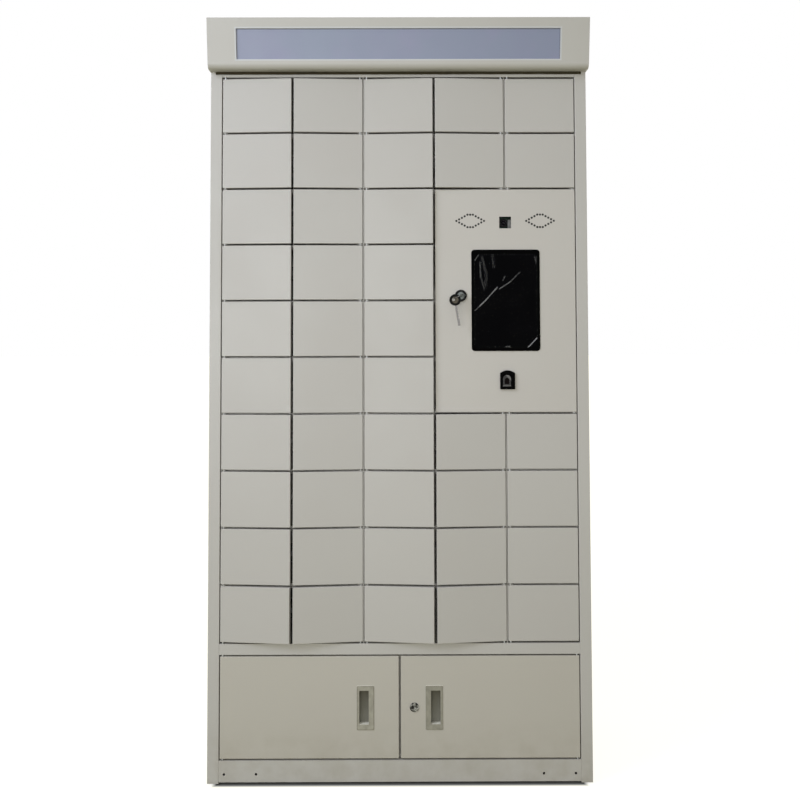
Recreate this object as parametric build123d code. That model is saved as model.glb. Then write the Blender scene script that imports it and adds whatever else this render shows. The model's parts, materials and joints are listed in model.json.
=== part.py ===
from build123d import *
import math
import os

# A free-standing steel locker: forty-two small electronic doors, a control door with a touch screen,
# camera and fingerprint reader, and two larger doors below. Millimetres, +Z up, front towards -Y.
# The origin is on the ground, under the middle of the whole object.

# Whole cabinet
HEIGHT = 1850.0
BODY_WIDTH = 928.0
BODY_DEPTH = 400.0
HOOD_WIDTH = 932.0
HOOD_REACH = 57.0
HOOD_UNDER = 35.3
HOOD_BOTTOM = 1730.0
FRONT = -(BODY_DEPTH - HOOD_REACH) / 2
BACK = FRONT + BODY_DEPTH

# Sheet steel
SHEET = 1.0
HOOD_SHEET = 1.2
BEND = 1.5
BACK_SHEET = BACK - 2 * SHEET

# How far a cutting block stands past the faces it cuts, and how near an edge lies to the plane it is on
CUT_PAST = 1.0
NEAR = 0.1

# Door field
COLUMNS = 5
ROWS = 10
PITCH_X = 174.0
PITCH_Z = 137.8
GRID_BOTTOM = 336.7
GRID_TOP = GRID_BOTTOM + ROWS * PITCH_Z
GRID_SIDE = COLUMNS * PITCH_X / 2
POST_GAP = 2.2
HINGE_GAP = 4.0
FREE_GAP = 5.0
ROW_GAP = 4.5
HINGE_LINE = (0, 2, 2, 4, 4)
FREE_LINE = (1, 1, 3, 3, 5)
CONTROL_COLUMNS = (3, 4)
CONTROL_ROWS = (2, 3, 4, 5)
LINING = GRID_SIDE + POST_GAP / 2

# Doors
SMALL_DEEP = 15.0
LOWER_DEEP = 18.0
PIVOT_IN = 6.0
PIVOT_BACK = 3.4
ROD_R = 2.0
HOLE_HALF = 2.05
AJAR_BY_ROW = (3.8, 3.8, 3.8, 3.8, 3.8, 3.8, 4.6, 4.6, 4.8, 6.9)
FLUSH_COLUMN = 4

# Shelves, partitions and latch units
SHELF_FRONT = FRONT + 17.0
SHELF_LIP = 12.0
TAB_HALF = 6.0
TAB_FRONT = FRONT + 0.4
HEM_THICK = 1.6
HEM_FRONT = FRONT + 2.0
HEM_DEEP = 12.0
LATCH = (12.0, 60.0, 32.0)
LATCH_FRONT = FRONT + 20.0
LATCH_SLOT = (7.0, 14.0, 26.0)
LATCH_SLOT_IN = 0.5
STRIKER = (2.5, 30.0, 24.0)
STRIKER_IN = 4.3
KEEPER = (22.0, 1.5, 36.0)
KEEPER_FRONT = FRONT + 19.0
KEEPER_FOOT = 26.0

# Bottom of the cabinet
PLINTH_BOTTOM = 7.4
FLOOR_TOP = 58.3
SIDE_BOTTOM = 4.0
RAIL_BOTTOM = 308.5
LOWER_BOTTOM = 62.3
LOWER_TOP = 304.5
LOWER_GAP = 5.0
POST_HALF = 20.0
POST_FACE = FRONT + 19.0
POST_DEEP = 9.0
CATCH = (14.0, 24.0, 32.0)
CATCH_FRONT = FRONT + 8.0
CATCH_Z = 242.0
CATCH_PLATE = (12.0, 6.5, 28.0)
CATCH_PLATE_IN = 1.0
PIN_OUT = 2.0
PIN_IN = 5.0
CONTROL_PIN_IN = 9.0
PLINTH_HOLES = (-423.0, -346.0, 346.0, 423.0)
PLINTH_HOLE_Z = 26.0
PLINTH_HOLE_R = 3.0
FOOT_X = 450.0
FOOT_Y = (FRONT + 22.0, BACK - 30.0)
FOOT_PAD = (11.0, 5.0)
FOOT_STEM = (4.0, 32.0)
FOOT_HOLE = 4.1
BRACKET = (40.0, 2.5)
BRACKET_Z = 14.0
SIDE_HEM = 15.0
DECK_HEM = 25.0
PLINTH_HEM = 20.0

# Control door and what it carries
LOCK_X = 152.0
LOCK_Z = 1175.0
SCREEN_X = 262.0
SCREEN_Z = 1163.5
SCREEN = (168.0, 249.0)
SCREEN_CORNER = 8.0
READER_X = 265.0
READER_Z = 969.0
CAMERA_X = 262.0
CAMERA_Z = 1355.0
CAMERA_WINDOW = 29.0
CAMERA_LENS_R = 9.5
CAMERA_IRIS_R = 6.0
CAMERA_LENS_X = CAMERA_X - 3.0
LENS_SIDES = 16
SPEAKERS_X = (176.0, 348.0)
SPEAKER_Z = 1359.0
SPEAKER_HOLE_R = 2.0
SPEAKER_HOLE_SIDES = 6
SPEAKER_STEP_X = 6.8
SPEAKER_STEP_Z = 3.85
SPEAKER_REACH = 5
LOCK_FACE_R = 14.5
LOCK_BODY_R = 12.0
PLUG_R = 9.0
PLUG_GAP = 0.05

# Lower doors' pull cups and cam lock
CUP_X = 83.0
CUP_Z = 182.0
CUP = (41.5, 105.0)
CUP_CORNER = 1.5
CUP_PROUD = 1.2
CUP_WALL = 1.5
CUP_EDGE = 1.5
CUP_FAR = 6.0
CUP_NEAR = 13.0
CUP_TOP = 12.0
CUP_FOOT = 14.0
CUP_DEEP = 14.0
CUP_UNDERCUT = 9.0
CAM_LOCK_X = 35.0
CAM_LOCK_Z = 183.0
CAM_FACE_R = 11.25
CAM_BODY_R = 9.5
CAM_PLUG_R = 6.0
CAM_PROUD = 2.0
CAM_REACH = 29.5
CAM_KEYWAY = (1.6, 6.5)
LOWER_CAM = (27.0, 13.0)

# Lock, key and ring
LOCK_PROUD = 3.0
LOCK_REACH = 22.0
LOCK_KEYWAY = (9.0, 2.4)
LOCK_CAM = (50.0, 16.0)
NUT_WIDER = 3.0
NUT_THICK = 4.0
PLUG_SUNK = 0.6
PLUG_BEYOND = 0.5
KEYWAY_DEEP = 4.0
CAM_THICK = 1.5
KEY_THICK = 2.2
KEY_BOW_R = 12.5
KEY_NECK = 5.0
KEY_NECK_WIDE = 8.0
KEY_IN_PLUG = 3.5
KEY_HOLE_R = 5.3
KEY_HOLE_Y = -1.2
KEY_NOTCHES = 5
KEY_NOTCH_FIRST = 12.0
KEY_NOTCH_STEP = 4.5
KEY_NOTCH = (2.0, 2.475)
RING_R = 13.5
RING_WIRE_R = 0.9
RING_ABOVE = 7.4
RING_MIDDLE_Y = -11.6
ROUND_SIDES = 24
HOLE_SIDES = 12
RING_X = -2.0
RING_DOWN = Vector(-0.9, 0, -0.436)
RING_NORMAL = Vector(-0.436, 0, 0.9)
KEY_BOW_Y = FRONT - LOCK_PROUD + PLUG_SUNK - KEY_NECK - KEY_BOW_R
RING_MIDDLE = Vector(LOCK_X + RING_X, KEY_BOW_Y + RING_MIDDLE_Y, LOCK_Z) + RING_DOWN * (RING_R - RING_ABOVE)
SPARE_BOW_X = 3.7
SPARE_BOW_Z = -3.0
SPARE_BOW_R = 14.0
SPARE_BLADE_W = 5.5
SPARE_BLADE_L = 49.0
SPARE_HOLE_R = 3.5
SPARE_PLAY = 0.25
SPARE_LEAN = 9.0

# Devices on the control door: how far they stand out, how deep they are, and their inner steps
SCREEN_PROUD = 2.0
SCREEN_DEEP = 30.0
SCREEN_LAP = 4.0
SCREEN_PLAY = 1.0
SCREEN_BEVEL = 0.6
SCREEN_REAR_BEVEL = 4.0
READER_BEZEL = (36.0, 46.0, 7.0)
READER_PROUD = 6.0
READER_RECESS = (23.0, 31.0, 8.0)
READER_RECESS_DEEP = 3.0
READER_RECESS_AT = (-1.5, -2.0)
READER_GUIDE = (20.0, 28.0, 9.0)
READER_GUIDE_PROUD = 1.6
READER_WINDOW = (11.0, 15.0, 5.0)
READER_WINDOW_PROUD = 0.5
READER_WINDOW_DOWN = 1.0
READER_HOUSING = (22.0, 16.0, 32.0)
READER_PLAY = 1.0
ARCH_FLATS = 10
CAMERA_DEEP = 24.0
CAMERA_FRAME_OUT = 4.0
CAMERA_FRAME_IN = 1.0
CAMERA_PANE = 1.5
CAMERA_LENS_DEEP = 15.0
CAMERA_IRIS_DEEP = 3.0
SPEAKER_FRAME = (82.0, 44.0)
SPEAKER_FRAME_CORNER = 8.0
SPEAKER_FRAME_DEEP = 8.0
SPEAKER_CONE = (74.0, 36.0)
SPEAKER_CONE_CORNER = 6.0
SPEAKER_CONE_DEEP = 5.0
MAGNET_R = 15.0
MAGNET_DEEP = 12.0
MAGNET_SIDES = 8

# Back panel: wall holes, vents and the power inlet's cut-out
BACK_PANEL_UP = 5.0
WALL_HOLE_X = 2 * PITCH_X
WALL_HOLE_Z = GRID_TOP - 45.0
WALL_HOLE_R = 4.0
VENT = (60.0, 5.0)
VENT_X = 260.0
VENT_STEP_X = 80.0
VENT_Z = 1385.0
VENT_STEP_Z = 9.0
VENT_COUNT = 5
INLET = (48.0, 28.0)
INLET_X = 400.0
INLET_Z = 100.0
INLET_DEEP = 24.0
INLET_LAP = 5.0
SOCKET = (24.0, 17.0)
SOCKET_DEEP = 17.0
CONTACTS = ((-7.0, -2.0), (0.0, 3.0), (7.0, -2.0))
CONTACT = (2.0, 5.0)
CONTACT_SUNK = 3.0

# Power supply and control board behind the control door
SUPPLY = (100.0, 42.0, 160.0)
SUPPLY_X = 372.0
SUPPLY_Z = 1060.0
SUPPLY_BEVEL = 2.0
BOARD = (180.0, 130.0)
BOARD_THICK = 1.6
BOARD_STAND = 10.0
BOARD_X = 210.0
BOARD_Z = 1225.0
STANDOFF = 6.0
SOCKET_ROW_IN = (12.0, 14.0)
SOCKET_ROW = (8.0, 10.0)
PROCESSOR = (40.0, 3.0)

# Hood and sign
HOOD_ROLL = 15.0
HOOD_LEDGES = (10.0, 20.0)
SIGN = (790.0, 73.2)
SIGN_Z = 1788.0
SIGN_RECESS = 3.5
SIGN_FRAME = 4.0
SIGN_LAP = 5.0
SIGN_THICK = 2.5
LAMP_TRAY = (780.0, 14.0, 4.0)
LAMP_STRIP = (776.0, 8.0, 2.0)
LAMP_Y = FRONT - 9.0
LEAN = math.atan2(HOOD_REACH - HOOD_UNDER, HEIGHT - HOOD_BOTTOM)


def block(x0, x1, y0, y1, z0, z1):
    """Box between two values on each axis, given in either order on X."""
    middle = Pos((x0 + x1) / 2, (y0 + y1) / 2, (z0 + z1) / 2)
    return middle * Box(abs(x1 - x0), y1 - y0, z1 - z0)


def at_depth(things, y):
    """Those of some edges or corners that lie at one depth."""
    return things.filter_by_position(Axis.Y, y - NEAR, y + NEAR)


def round_bar(radius, x, y, z0, z1):
    """Upright round bar."""
    return Pos(x, y, (z0 + z1) / 2) * Cylinder(radius, z1 - z0)


def facing_disc(radius, x, z, y0, y1):
    """Round bar along Y, between two depths."""
    return Pos(x, (y0 + y1) / 2, z) * Rot(90, 0, 0) * Cylinder(radius, y1 - y0)


def front_plane(x, y, z):
    """Sketch plane that faces the front, with its origin at a point."""
    return Plane(origin=(x, y, z), x_dir=(1, 0, 0), z_dir=(0, -1, 0))


def front_cut(outline):
    """Outline, drawn in X and Z, as a cutter through a door's front sheet."""
    return extrude(front_plane(0, FRONT + SHEET + CUT_PAST, 0) * outline, SHEET + 2 * CUT_PAST)


def folded(path, side):
    """Outline of a sheet that follows a path of points, which lies on one of its faces."""
    return make_face(offset(Polyline(*path), SHEET, side=side))


def column_line(line):
    return -GRID_SIDE + line * PITCH_X


def row_line(line):
    return GRID_TOP - line * PITCH_Z


def half_gap(line):
    """Distance from a column line to the edge of a door that ends there."""
    if line in (0, COLUMNS):
        return POST_GAP / 2
    return (HINGE_GAP if line in HINGE_LINE else FREE_GAP) / 2


def opens_to(column):
    """+1 where the free edge lies towards +X from the hinge, -1 where it lies towards -X."""
    return 1 if FREE_LINE[column] > HINGE_LINE[column] else -1


def hinge_edge(column):
    line = HINGE_LINE[column]
    return column_line(line) + opens_to(column) * half_gap(line)


def free_edge(column):
    line = FREE_LINE[column]
    return column_line(line) - opens_to(column) * half_gap(line)


def pivot_x(column):
    return hinge_edge(column) + opens_to(column) * PIVOT_IN


def has_door(row, column):
    return not (row in CONTROL_ROWS and column in CONTROL_COLUMNS)


PIVOT_Y = FRONT + PIVOT_BACK
CONTROL_HINGE = LINING - POST_GAP
CONTROL_PIVOT = CONTROL_HINGE - PIVOT_IN
CONTROL_FREE = column_line(CONTROL_COLUMNS[0]) + half_gap(CONTROL_COLUMNS[0])
BAY_TOP = row_line(CONTROL_ROWS[0])
BAY_BOTTOM = row_line(CONTROL_ROWS[-1] + 1)
DECK_TOP = GRID_BOTTOM - ROW_GAP / 2
ROOF_BOTTOM = GRID_TOP + ROW_GAP / 2


def pin_hole(x, z0, z1):
    """Punched square hole whose sides clear a hinge rod."""
    return block(x - HOLE_HALF, x + HOLE_HALF, PIVOT_Y - HOLE_HALF, PIVOT_Y + HOLE_HALF, z0, z1)


def pan(x0, x1, z0, z1, deep, pivot):
    """Door sheet with its four edges folded back, and a hinge hole in the top and bottom returns."""
    left, right = min(x0, x1), max(x0, x1)
    solid = block(left, right, FRONT, FRONT + deep, z0, z1)
    solid -= block(left + SHEET, right - SHEET, FRONT + SHEET, FRONT + deep, z0 + SHEET, z1 - SHEET)
    solid -= pin_hole(pivot, z0, z0 + SHEET)
    solid -= pin_hole(pivot, z1 - SHEET, z1)
    return solid


def small_door(row, column):
    """One small door at rest: pan and striker, turned about its rod to where it stands ajar."""
    side = opens_to(column)
    low = row_line(row + 1) + ROW_GAP / 2
    high = row_line(row) - ROW_GAP / 2
    middle = (low + high) / 2
    near = free_edge(column) - side * STRIKER_IN
    far = near - side * STRIKER[0]
    half = STRIKER[2] / 2
    striker = block(near, far, FRONT + SHEET, FRONT + STRIKER[1], middle - half, middle + half)
    door = pan(hinge_edge(column), free_edge(column), low, high, SMALL_DEEP, pivot_x(column))
    ajar = 0.0 if column == FLUSH_COLUMN else AJAR_BY_ROW[row]
    axis = Axis((pivot_x(column), PIVOT_Y, 0), (0, 0, 1))
    return [piece.rotate(axis, -side * ajar) for piece in (door, striker)]


def latch_unit(row, column):
    """Electric latch on the wall at a door's free side, with the slot that its striker enters."""
    side = opens_to(column)
    line = FREE_LINE[column]
    wall = LINING if line == COLUMNS else column_line(line) - side * SHEET / 2
    slot = free_edge(column) - side * LATCH_SLOT_IN
    middle = (row_line(row) + row_line(row + 1)) / 2
    low, high = middle - LATCH[2] / 2, middle + LATCH[2] / 2
    unit = block(wall, wall - side * LATCH[0], LATCH_FRONT, LATCH_FRONT + LATCH[1], low, high)
    low, high = middle - LATCH_SLOT[2] / 2, middle + LATCH_SLOT[2] / 2
    slot_back = LATCH_FRONT + LATCH_SLOT[1]
    return unit - block(slot, slot - side * LATCH_SLOT[0], LATCH_FRONT, slot_back, low, high)


def shelf(x0, x1, line, pivots, lip_up=False):
    """Shelf sheet with a folded lip, and a tab that reaches forward to each hinge rod."""
    top = row_line(line) + SHEET / 2
    lip = top - SHEET if lip_up else top - SHELF_LIP
    solid = block(x0, x1, SHELF_FRONT, BACK_SHEET, top - SHEET, top)
    solid += block(x0, x1, SHELF_FRONT, SHELF_FRONT + SHEET, lip, lip + SHELF_LIP)
    for x in pivots:
        left = max(x - TAB_HALF, x0)
        right = min(x + TAB_HALF, x1)
        solid += block(left, right, TAB_FRONT, SHELF_FRONT + SHEET, top - SHEET, top)
    for x in pivots:
        solid -= pin_hole(x, top - SHEET, top)
    return solid


def shelves():
    """One shelf for each compartment floor, and a double one above and below the control bay.

    The lip under the bay turns up, clear of the partition below it.
    """
    solids = []
    for column in range(COLUMNS):
        walls = (column_line(column) + SHEET / 2, column_line(column + 1) - SHEET / 2)
        left = -LINING if column == 0 else walls[0]
        right = LINING if column == COLUMNS - 1 else walls[1]
        for line in range(1, ROWS):
            above = has_door(line - 1, column)
            below = has_door(line, column)
            if above and below:
                solids.append(shelf(left, right, line, [pivot_x(column)]))
    bay_left = column_line(CONTROL_COLUMNS[0]) + SHEET / 2
    rods = [pivot_x(column) for column in CONTROL_COLUMNS] + [CONTROL_PIVOT]
    solids.append(shelf(bay_left, LINING, CONTROL_ROWS[0], rods))
    solids.append(shelf(bay_left, LINING, CONTROL_ROWS[-1] + 1, rods, lip_up=True))
    return solids


def partition(line, low, high):
    """Upright sheet between two columns; at a hinge line its hemmed edge fills the gap between doors."""
    x = column_line(line)
    if line not in HINGE_LINE:
        return block(x - SHEET / 2, x + SHEET / 2, SHELF_FRONT, BACK_SHEET, low, high)
    sheet = block(x - SHEET / 2, x + SHEET / 2, HEM_FRONT, BACK_SHEET, low, high)
    return sheet + block(x - HEM_THICK / 2, x + HEM_THICK / 2, HEM_FRONT, HEM_FRONT + HEM_DEEP, low, high)


def partitions():
    low, high = DECK_TOP, ROOF_BOTTOM
    solids = [partition(line, low, high) for line in (1, 2, 3)]
    solids.append(partition(4, low, BAY_BOTTOM - SHEET / 2))
    solids.append(partition(4, BAY_TOP + SHEET / 2, high))
    return solids


def control_keeper():
    """Angle on the bay's left wall that the control door's cam turns behind."""
    wall = column_line(CONTROL_COLUMNS[0]) + SHEET / 2
    low, high = LOCK_Z - KEEPER[2] / 2, LOCK_Z + KEEPER[2] / 2
    keeper = block(wall, wall + KEEPER[0], KEEPER_FRONT, KEEPER_FRONT + KEEPER[1], low, high)
    return keeper + block(wall, wall + KEEPER[1], KEEPER_FRONT, KEEPER_FRONT + KEEPER_FOOT, low, high)


def hinge_pins():
    """Rods of the small doors, one of which also carries the left lower door, and four short pins."""
    runs = [(pivot_x(column), DECK_TOP, ROOF_BOTTOM) for column in range(1, CONTROL_COLUMNS[0])]
    for column in CONTROL_COLUMNS:
        runs.append((pivot_x(column), DECK_TOP, BAY_BOTTOM))
        runs.append((pivot_x(column), BAY_TOP, ROOF_BOTTOM))
    runs.append((-CONTROL_PIVOT, FLOOR_TOP, ROOF_BOTTOM))
    solids = [round_bar(ROD_R, x, PIVOT_Y, low - PIN_OUT, high + PIN_OUT) for x, low, high in runs]
    half = SHEET / 2
    pins = [
        (BAY_TOP - CONTROL_PIN_IN, BAY_TOP + half),
        (BAY_BOTTOM - half, BAY_BOTTOM + CONTROL_PIN_IN),
        (FLOOR_TOP - PIN_OUT, LOWER_BOTTOM + PIN_IN),
        (LOWER_TOP - PIN_IN, RAIL_BOTTOM + PIN_OUT),
    ]
    return solids + [round_bar(ROD_R, CONTROL_PIVOT, PIVOT_Y, low, high) for low, high in pins]


def side_channel(side):
    """Outer panel, front post and inner lining of one side, folded from one sheet."""
    edge = side * BODY_WIDTH / 2
    lining = side * LINING
    path = [
        (edge - side * SIDE_HEM, BACK),
        (edge, BACK),
        (edge, FRONT),
        (lining, FRONT),
        (lining, BACK_SHEET),
    ]
    sheet = folded(path, Side.LEFT if side < 0 else Side.RIGHT)
    sheet = fillet(at_depth(sheet.vertices(), FRONT), BEND)
    return extrude(Plane.XY.offset(SIDE_BOTTOM) * sheet, HOOD_BOTTOM - SIDE_BOTTOM)


def rail(hem, low, high):
    """Cross member between the linings: a lower flange back to hem, a front face and a full-depth top."""
    path = [(hem, low), (FRONT, low), (FRONT, high), (BACK_SHEET, high)]
    return extrude(Plane.YZ.offset(-LINING) * folded(path, Side.RIGHT), 2 * LINING)


def foot_bracket(side, y):
    """Plate across the foot of a side channel that a levelling foot screws into."""
    inner = side * (LINING + SHEET)
    outer = side * (BODY_WIDTH / 2 - SHEET)
    half = BRACKET[0] / 2
    plate = block(inner, outer, y - half, y + half, BRACKET_Z, BRACKET_Z + BRACKET[1])
    hole = Pos(side * FOOT_X, y) * RegularPolygon(FOOT_HOLE, 6, major_radius=False)
    return plate - extrude(Plane.XY.offset(BRACKET_Z) * hole, BRACKET[1])


def centre_post():
    """Channel between the two lower doors, which the right door's cam turns behind."""
    path = [
        (-POST_HALF, POST_FACE + POST_DEEP),
        (-POST_HALF, POST_FACE),
        (POST_HALF, POST_FACE),
        (POST_HALF, POST_FACE + POST_DEEP),
    ]
    return extrude(Plane.XY.offset(FLOOR_TOP) * folded(path, Side.LEFT), RAIL_BOTTOM - FLOOR_TOP)


def magnetic_catch():
    """Catch body behind the centre post's edge, facing the left lower door's keeper plate."""
    low, high = CATCH_Z - CATCH[2] / 2, CATCH_Z + CATCH[2] / 2
    return block(-POST_HALF - CATCH[0], -POST_HALF, CATCH_FRONT, CATCH_FRONT + CATCH[1], low, high)


def back_panel():
    """Rear sheet with vent slots behind the control bay, two wall holes and the power inlet's cut-out."""
    edge = BODY_WIDTH / 2 - SHEET
    low, high = PLINTH_BOTTOM + BACK_PANEL_UP, HOOD_BOTTOM - SHEET
    panel = block(-edge, edge, BACK_SHEET, BACK_SHEET + SHEET, low, high)
    for x in (-WALL_HOLE_X, WALL_HOLE_X):
        panel -= facing_disc(WALL_HOLE_R, x, WALL_HOLE_Z, BACK_SHEET, BACK_SHEET + SHEET)
    for x in (VENT_X - VENT_STEP_X / 2, VENT_X + VENT_STEP_X / 2):
        for step in range(VENT_COUNT):
            z = VENT_Z + step * VENT_STEP_Z
            panel -= block(x - VENT[0] / 2, x + VENT[0] / 2, BACK_SHEET, BACK_SHEET + SHEET, z, z + VENT[1])
    low, high = INLET_Z - INLET[1] / 2, INLET_Z + INLET[1] / 2
    left, right = INLET_X - INLET[0] / 2, INLET_X + INLET[0] / 2
    return panel - block(left, right, BACK_SHEET, BACK_SHEET + SHEET, low, high)


def carcass():
    """Fixed steel body: two sides, roof, deck, floor with its plinth, centre post, back and foot brackets."""
    roof = rail(BACK_SHEET, ROOF_BOTTOM, HOOD_BOTTOM)
    deck = rail(FRONT + DECK_HEM, RAIL_BOTTOM, DECK_TOP)
    floor = rail(FRONT + PLINTH_HEM, PLINTH_BOTTOM, FLOOR_TOP)
    for column in range(COLUMNS):
        roof -= pin_hole(pivot_x(column), ROOF_BOTTOM, ROOF_BOTTOM + SHEET)
        deck -= pin_hole(pivot_x(column), DECK_TOP - SHEET, DECK_TOP)
    for side in (-1, 1):
        deck -= pin_hole(side * CONTROL_PIVOT, RAIL_BOTTOM, RAIL_BOTTOM + SHEET)
        floor -= pin_hole(side * CONTROL_PIVOT, FLOOR_TOP - SHEET, FLOOR_TOP)
    for x in PLINTH_HOLES:
        hole = RegularPolygon(PLINTH_HOLE_R, 8, major_radius=False)
        floor -= extrude(front_plane(x, FRONT + SHEET, PLINTH_HOLE_Z) * hole, SHEET)
    sides = [side_channel(side) for side in (-1, 1)]
    brackets = [foot_bracket(side, y) for side in (-1, 1) for y in FOOT_Y]
    return sides + [roof, deck, floor, centre_post(), magnetic_catch(), back_panel()] + brackets


def levelling_foot(x, y):
    """Hexagonal pad and stem of one foot."""
    pad = extrude(Pos(x, y) * RegularPolygon(FOOT_PAD[0], 6, major_radius=False), FOOT_PAD[1])
    return pad + extrude(Pos(x, y) * RegularPolygon(FOOT_STEM[0], 6), FOOT_STEM[1])


def hood_section():
    """Side view of the hood: flat underside, rolled lower edge, and a front that leans forward."""
    outline = Polyline(
        (BACK, HOOD_BOTTOM),
        (FRONT - HOOD_UNDER, HOOD_BOTTOM),
        (FRONT - HOOD_REACH, HEIGHT),
        (BACK, HEIGHT),
        close=True,
    )
    face = make_face(outline)
    lower = face.vertices().sort_by_distance(Vector(FRONT - HOOD_UNDER, HOOD_BOTTOM, 0))[0]
    return fillet(lower, HOOD_ROLL)


def fascia_plane(deep):
    """Plane on the hood's leaning front, at the sign's middle, moved inwards by deep."""
    y = FRONT - HOOD_UNDER - (SIGN_Z - HOOD_BOTTOM) * math.tan(LEAN)
    plane = Plane(origin=(0, y, SIGN_Z), x_dir=(1, 0, 0), z_dir=(0, -math.cos(LEAN), -math.sin(LEAN)))
    return plane.offset(-deep)


def sign_slab(extra, near, far):
    """Rectangle of the sign window's size plus extra each way, between two depths behind the front."""
    outline = Rectangle(SIGN[0] + 2 * extra, SIGN[1] + 2 * extra)
    return extrude(fascia_plane(far) * outline, far - near)


def hood():
    """Folded hood, hollow and open below, with a stepped frame round the sign window."""
    section = hood_section()
    shell = extrude(Plane.YZ.offset(-HOOD_WIDTH / 2) * section, HOOD_WIDTH)
    inner_half = HOOD_WIDTH / 2 - HOOD_SHEET
    shell -= extrude(Plane.YZ.offset(-inner_half) * offset(section, -HOOD_SHEET), 2 * inner_half)
    near, far = FRONT + HOOD_LEDGES[0], BACK - HOOD_LEDGES[1]
    shell -= block(-LINING, LINING, near, far, HOOD_BOTTOM, HOOD_BOTTOM + HOOD_SHEET + CUT_PAST)
    shell -= sign_slab(0.0, -CUT_PAST, HOOD_SHEET + CUT_PAST)
    frame = sign_slab(SIGN_FRAME, HOOD_SHEET, SIGN_RECESS) - sign_slab(0.0, 0.0, SIGN_RECESS + CUT_PAST)
    return [shell, frame]


def light_bar():
    """Lamp strip that lies on the hood's floor and lights the sign from behind."""
    low = HOOD_BOTTOM + HOOD_SHEET
    solids = []
    for width, deep, high in (LAMP_TRAY, LAMP_STRIP):
        solids.append(block(-width / 2, width / 2, LAMP_Y - deep / 2, LAMP_Y + deep / 2, low, low + high))
        low += high
    return solids


def control_door():
    """Wide pan with the openings for its devices, and the lock barrel fixed in it."""
    low, high = BAY_BOTTOM + ROW_GAP / 2, BAY_TOP - ROW_GAP / 2
    door = pan(CONTROL_FREE, CONTROL_HINGE, low, high, SMALL_DEEP, CONTROL_PIVOT)
    screen = Rectangle(SCREEN[0] - 2 * SCREEN_LAP, SCREEN[1] - 2 * SCREEN_LAP)
    door -= front_cut(Pos(SCREEN_X, SCREEN_Z) * screen)
    door -= front_cut(Pos(CAMERA_X, CAMERA_Z) * Rectangle(CAMERA_WINDOW, CAMERA_WINDOW))
    reader = Rectangle(READER_HOUSING[0] + 2 * READER_PLAY, READER_HOUSING[2] + 2 * READER_PLAY)
    door -= front_cut(Pos(READER_X, READER_Z) * reader)
    door -= front_cut(Pos(LOCK_X, LOCK_Z) * RegularPolygon(LOCK_BODY_R, 6, major_radius=False))
    hole = RegularPolygon(SPEAKER_HOLE_R, SPEAKER_HOLE_SIDES, rotation=180 / SPEAKER_HOLE_SIDES)
    places = [(x + dx, SPEAKER_Z + dz) for x in SPEAKERS_X for dx, dz in speaker_pattern()]
    door -= front_cut(Sketch(children=[Pos(x, z) * hole for x, z in places]))
    barrel = lock_barrel(LOCK_X, LOCK_Z, LOCK_FACE_R, LOCK_BODY_R, PLUG_R, LOCK_PROUD, LOCK_REACH)
    return [door, barrel]


def speaker_pattern():
    """Holes along the outline of a flat-topped diamond, from the middle of one speaker."""
    places = []
    for step in range(-SPEAKER_REACH, SPEAKER_REACH + 1):
        rise = SPEAKER_STEP_Z * (SPEAKER_REACH - max(abs(step), 1))
        places.append((step * SPEAKER_STEP_X, rise))
        if rise > 0:
            places.append((step * SPEAKER_STEP_X, -rise))
    return places


def lock_barrel(x, z, face_r, body_r, plug_r, proud, reach):
    """Barrel with a round face ring, a hexagonal body and a nut behind the door, bored for its plug."""
    barrel = facing_disc(face_r, x, z, FRONT - proud, FRONT)
    body = RegularPolygon(body_r, 6, major_radius=False)
    barrel += extrude(front_plane(x, FRONT + reach, z) * body, reach)
    nut = RegularPolygon(body_r + NUT_WIDER, 6, major_radius=False)
    barrel += extrude(front_plane(x, FRONT + SHEET + NUT_THICK, z) * nut, NUT_THICK)
    near, far = FRONT - proud - CUT_PAST, FRONT + reach + CUT_PAST
    return barrel - facing_disc(plug_r + PLUG_GAP, x, z, near, far)


def lock_plug(x, z, radius, proud, reach, slot):
    """Turning plug with a keyway in its face."""
    face = FRONT - proud + PLUG_SUNK
    plug = facing_disc(radius, x, z, face, FRONT + reach + PLUG_BEYOND)
    half_w, half_h = slot[0] / 2, slot[1] / 2
    return plug - block(x - half_w, x + half_w, face, face + KEYWAY_DEEP, z - half_h, z + half_h)


def cam(x, z, y, length, width):
    """Flat cam bar with clipped corners on the plug's inner end."""
    bar = Pos(0, (length - width / 2) / 2) * Rectangle(width, length + width / 2)
    bar = chamfer(bar.vertices(), width / 4)
    return extrude(front_plane(x, y + CAM_THICK, z) * bar, CAM_THICK)


def touch_screen():
    """Glass front with rounded corners that lies on the door, and the display housing behind it."""
    outline = RectangleRounded(SCREEN[0], SCREEN[1], SCREEN_CORNER)
    glass = extrude(front_plane(SCREEN_X, FRONT, SCREEN_Z) * outline, SCREEN_PROUD)
    glass = chamfer(at_depth(glass.edges(), FRONT - SCREEN_PROUD), SCREEN_BEVEL)
    half_w, half_h = [size / 2 - SCREEN_LAP - SCREEN_PLAY for size in SCREEN]
    rear = FRONT + SCREEN_DEEP
    housing = block(
        SCREEN_X - half_w, SCREEN_X + half_w, FRONT, rear, SCREEN_Z - half_h, SCREEN_Z + half_h
    )
    return [glass, chamfer(at_depth(housing.edges(), rear), SCREEN_REAR_BEVEL)]


def arch(width, height, rise):
    """Outline with straight sides and a shallow round top of a few flats, centred on its own box."""
    half = width / 2
    radius = (half**2 + rise**2) / (2 * rise)
    reach = math.asin(half / radius)
    angles = [reach * (1 - 2 * step / ARCH_FLATS) for step in range(ARCH_FLATS + 1)]
    top = [(radius * math.sin(angle), height / 2 - radius * (1 - math.cos(angle))) for angle in angles]
    return make_face(Polyline((-half, -height / 2), (half, -height / 2), *top, close=True))


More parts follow.
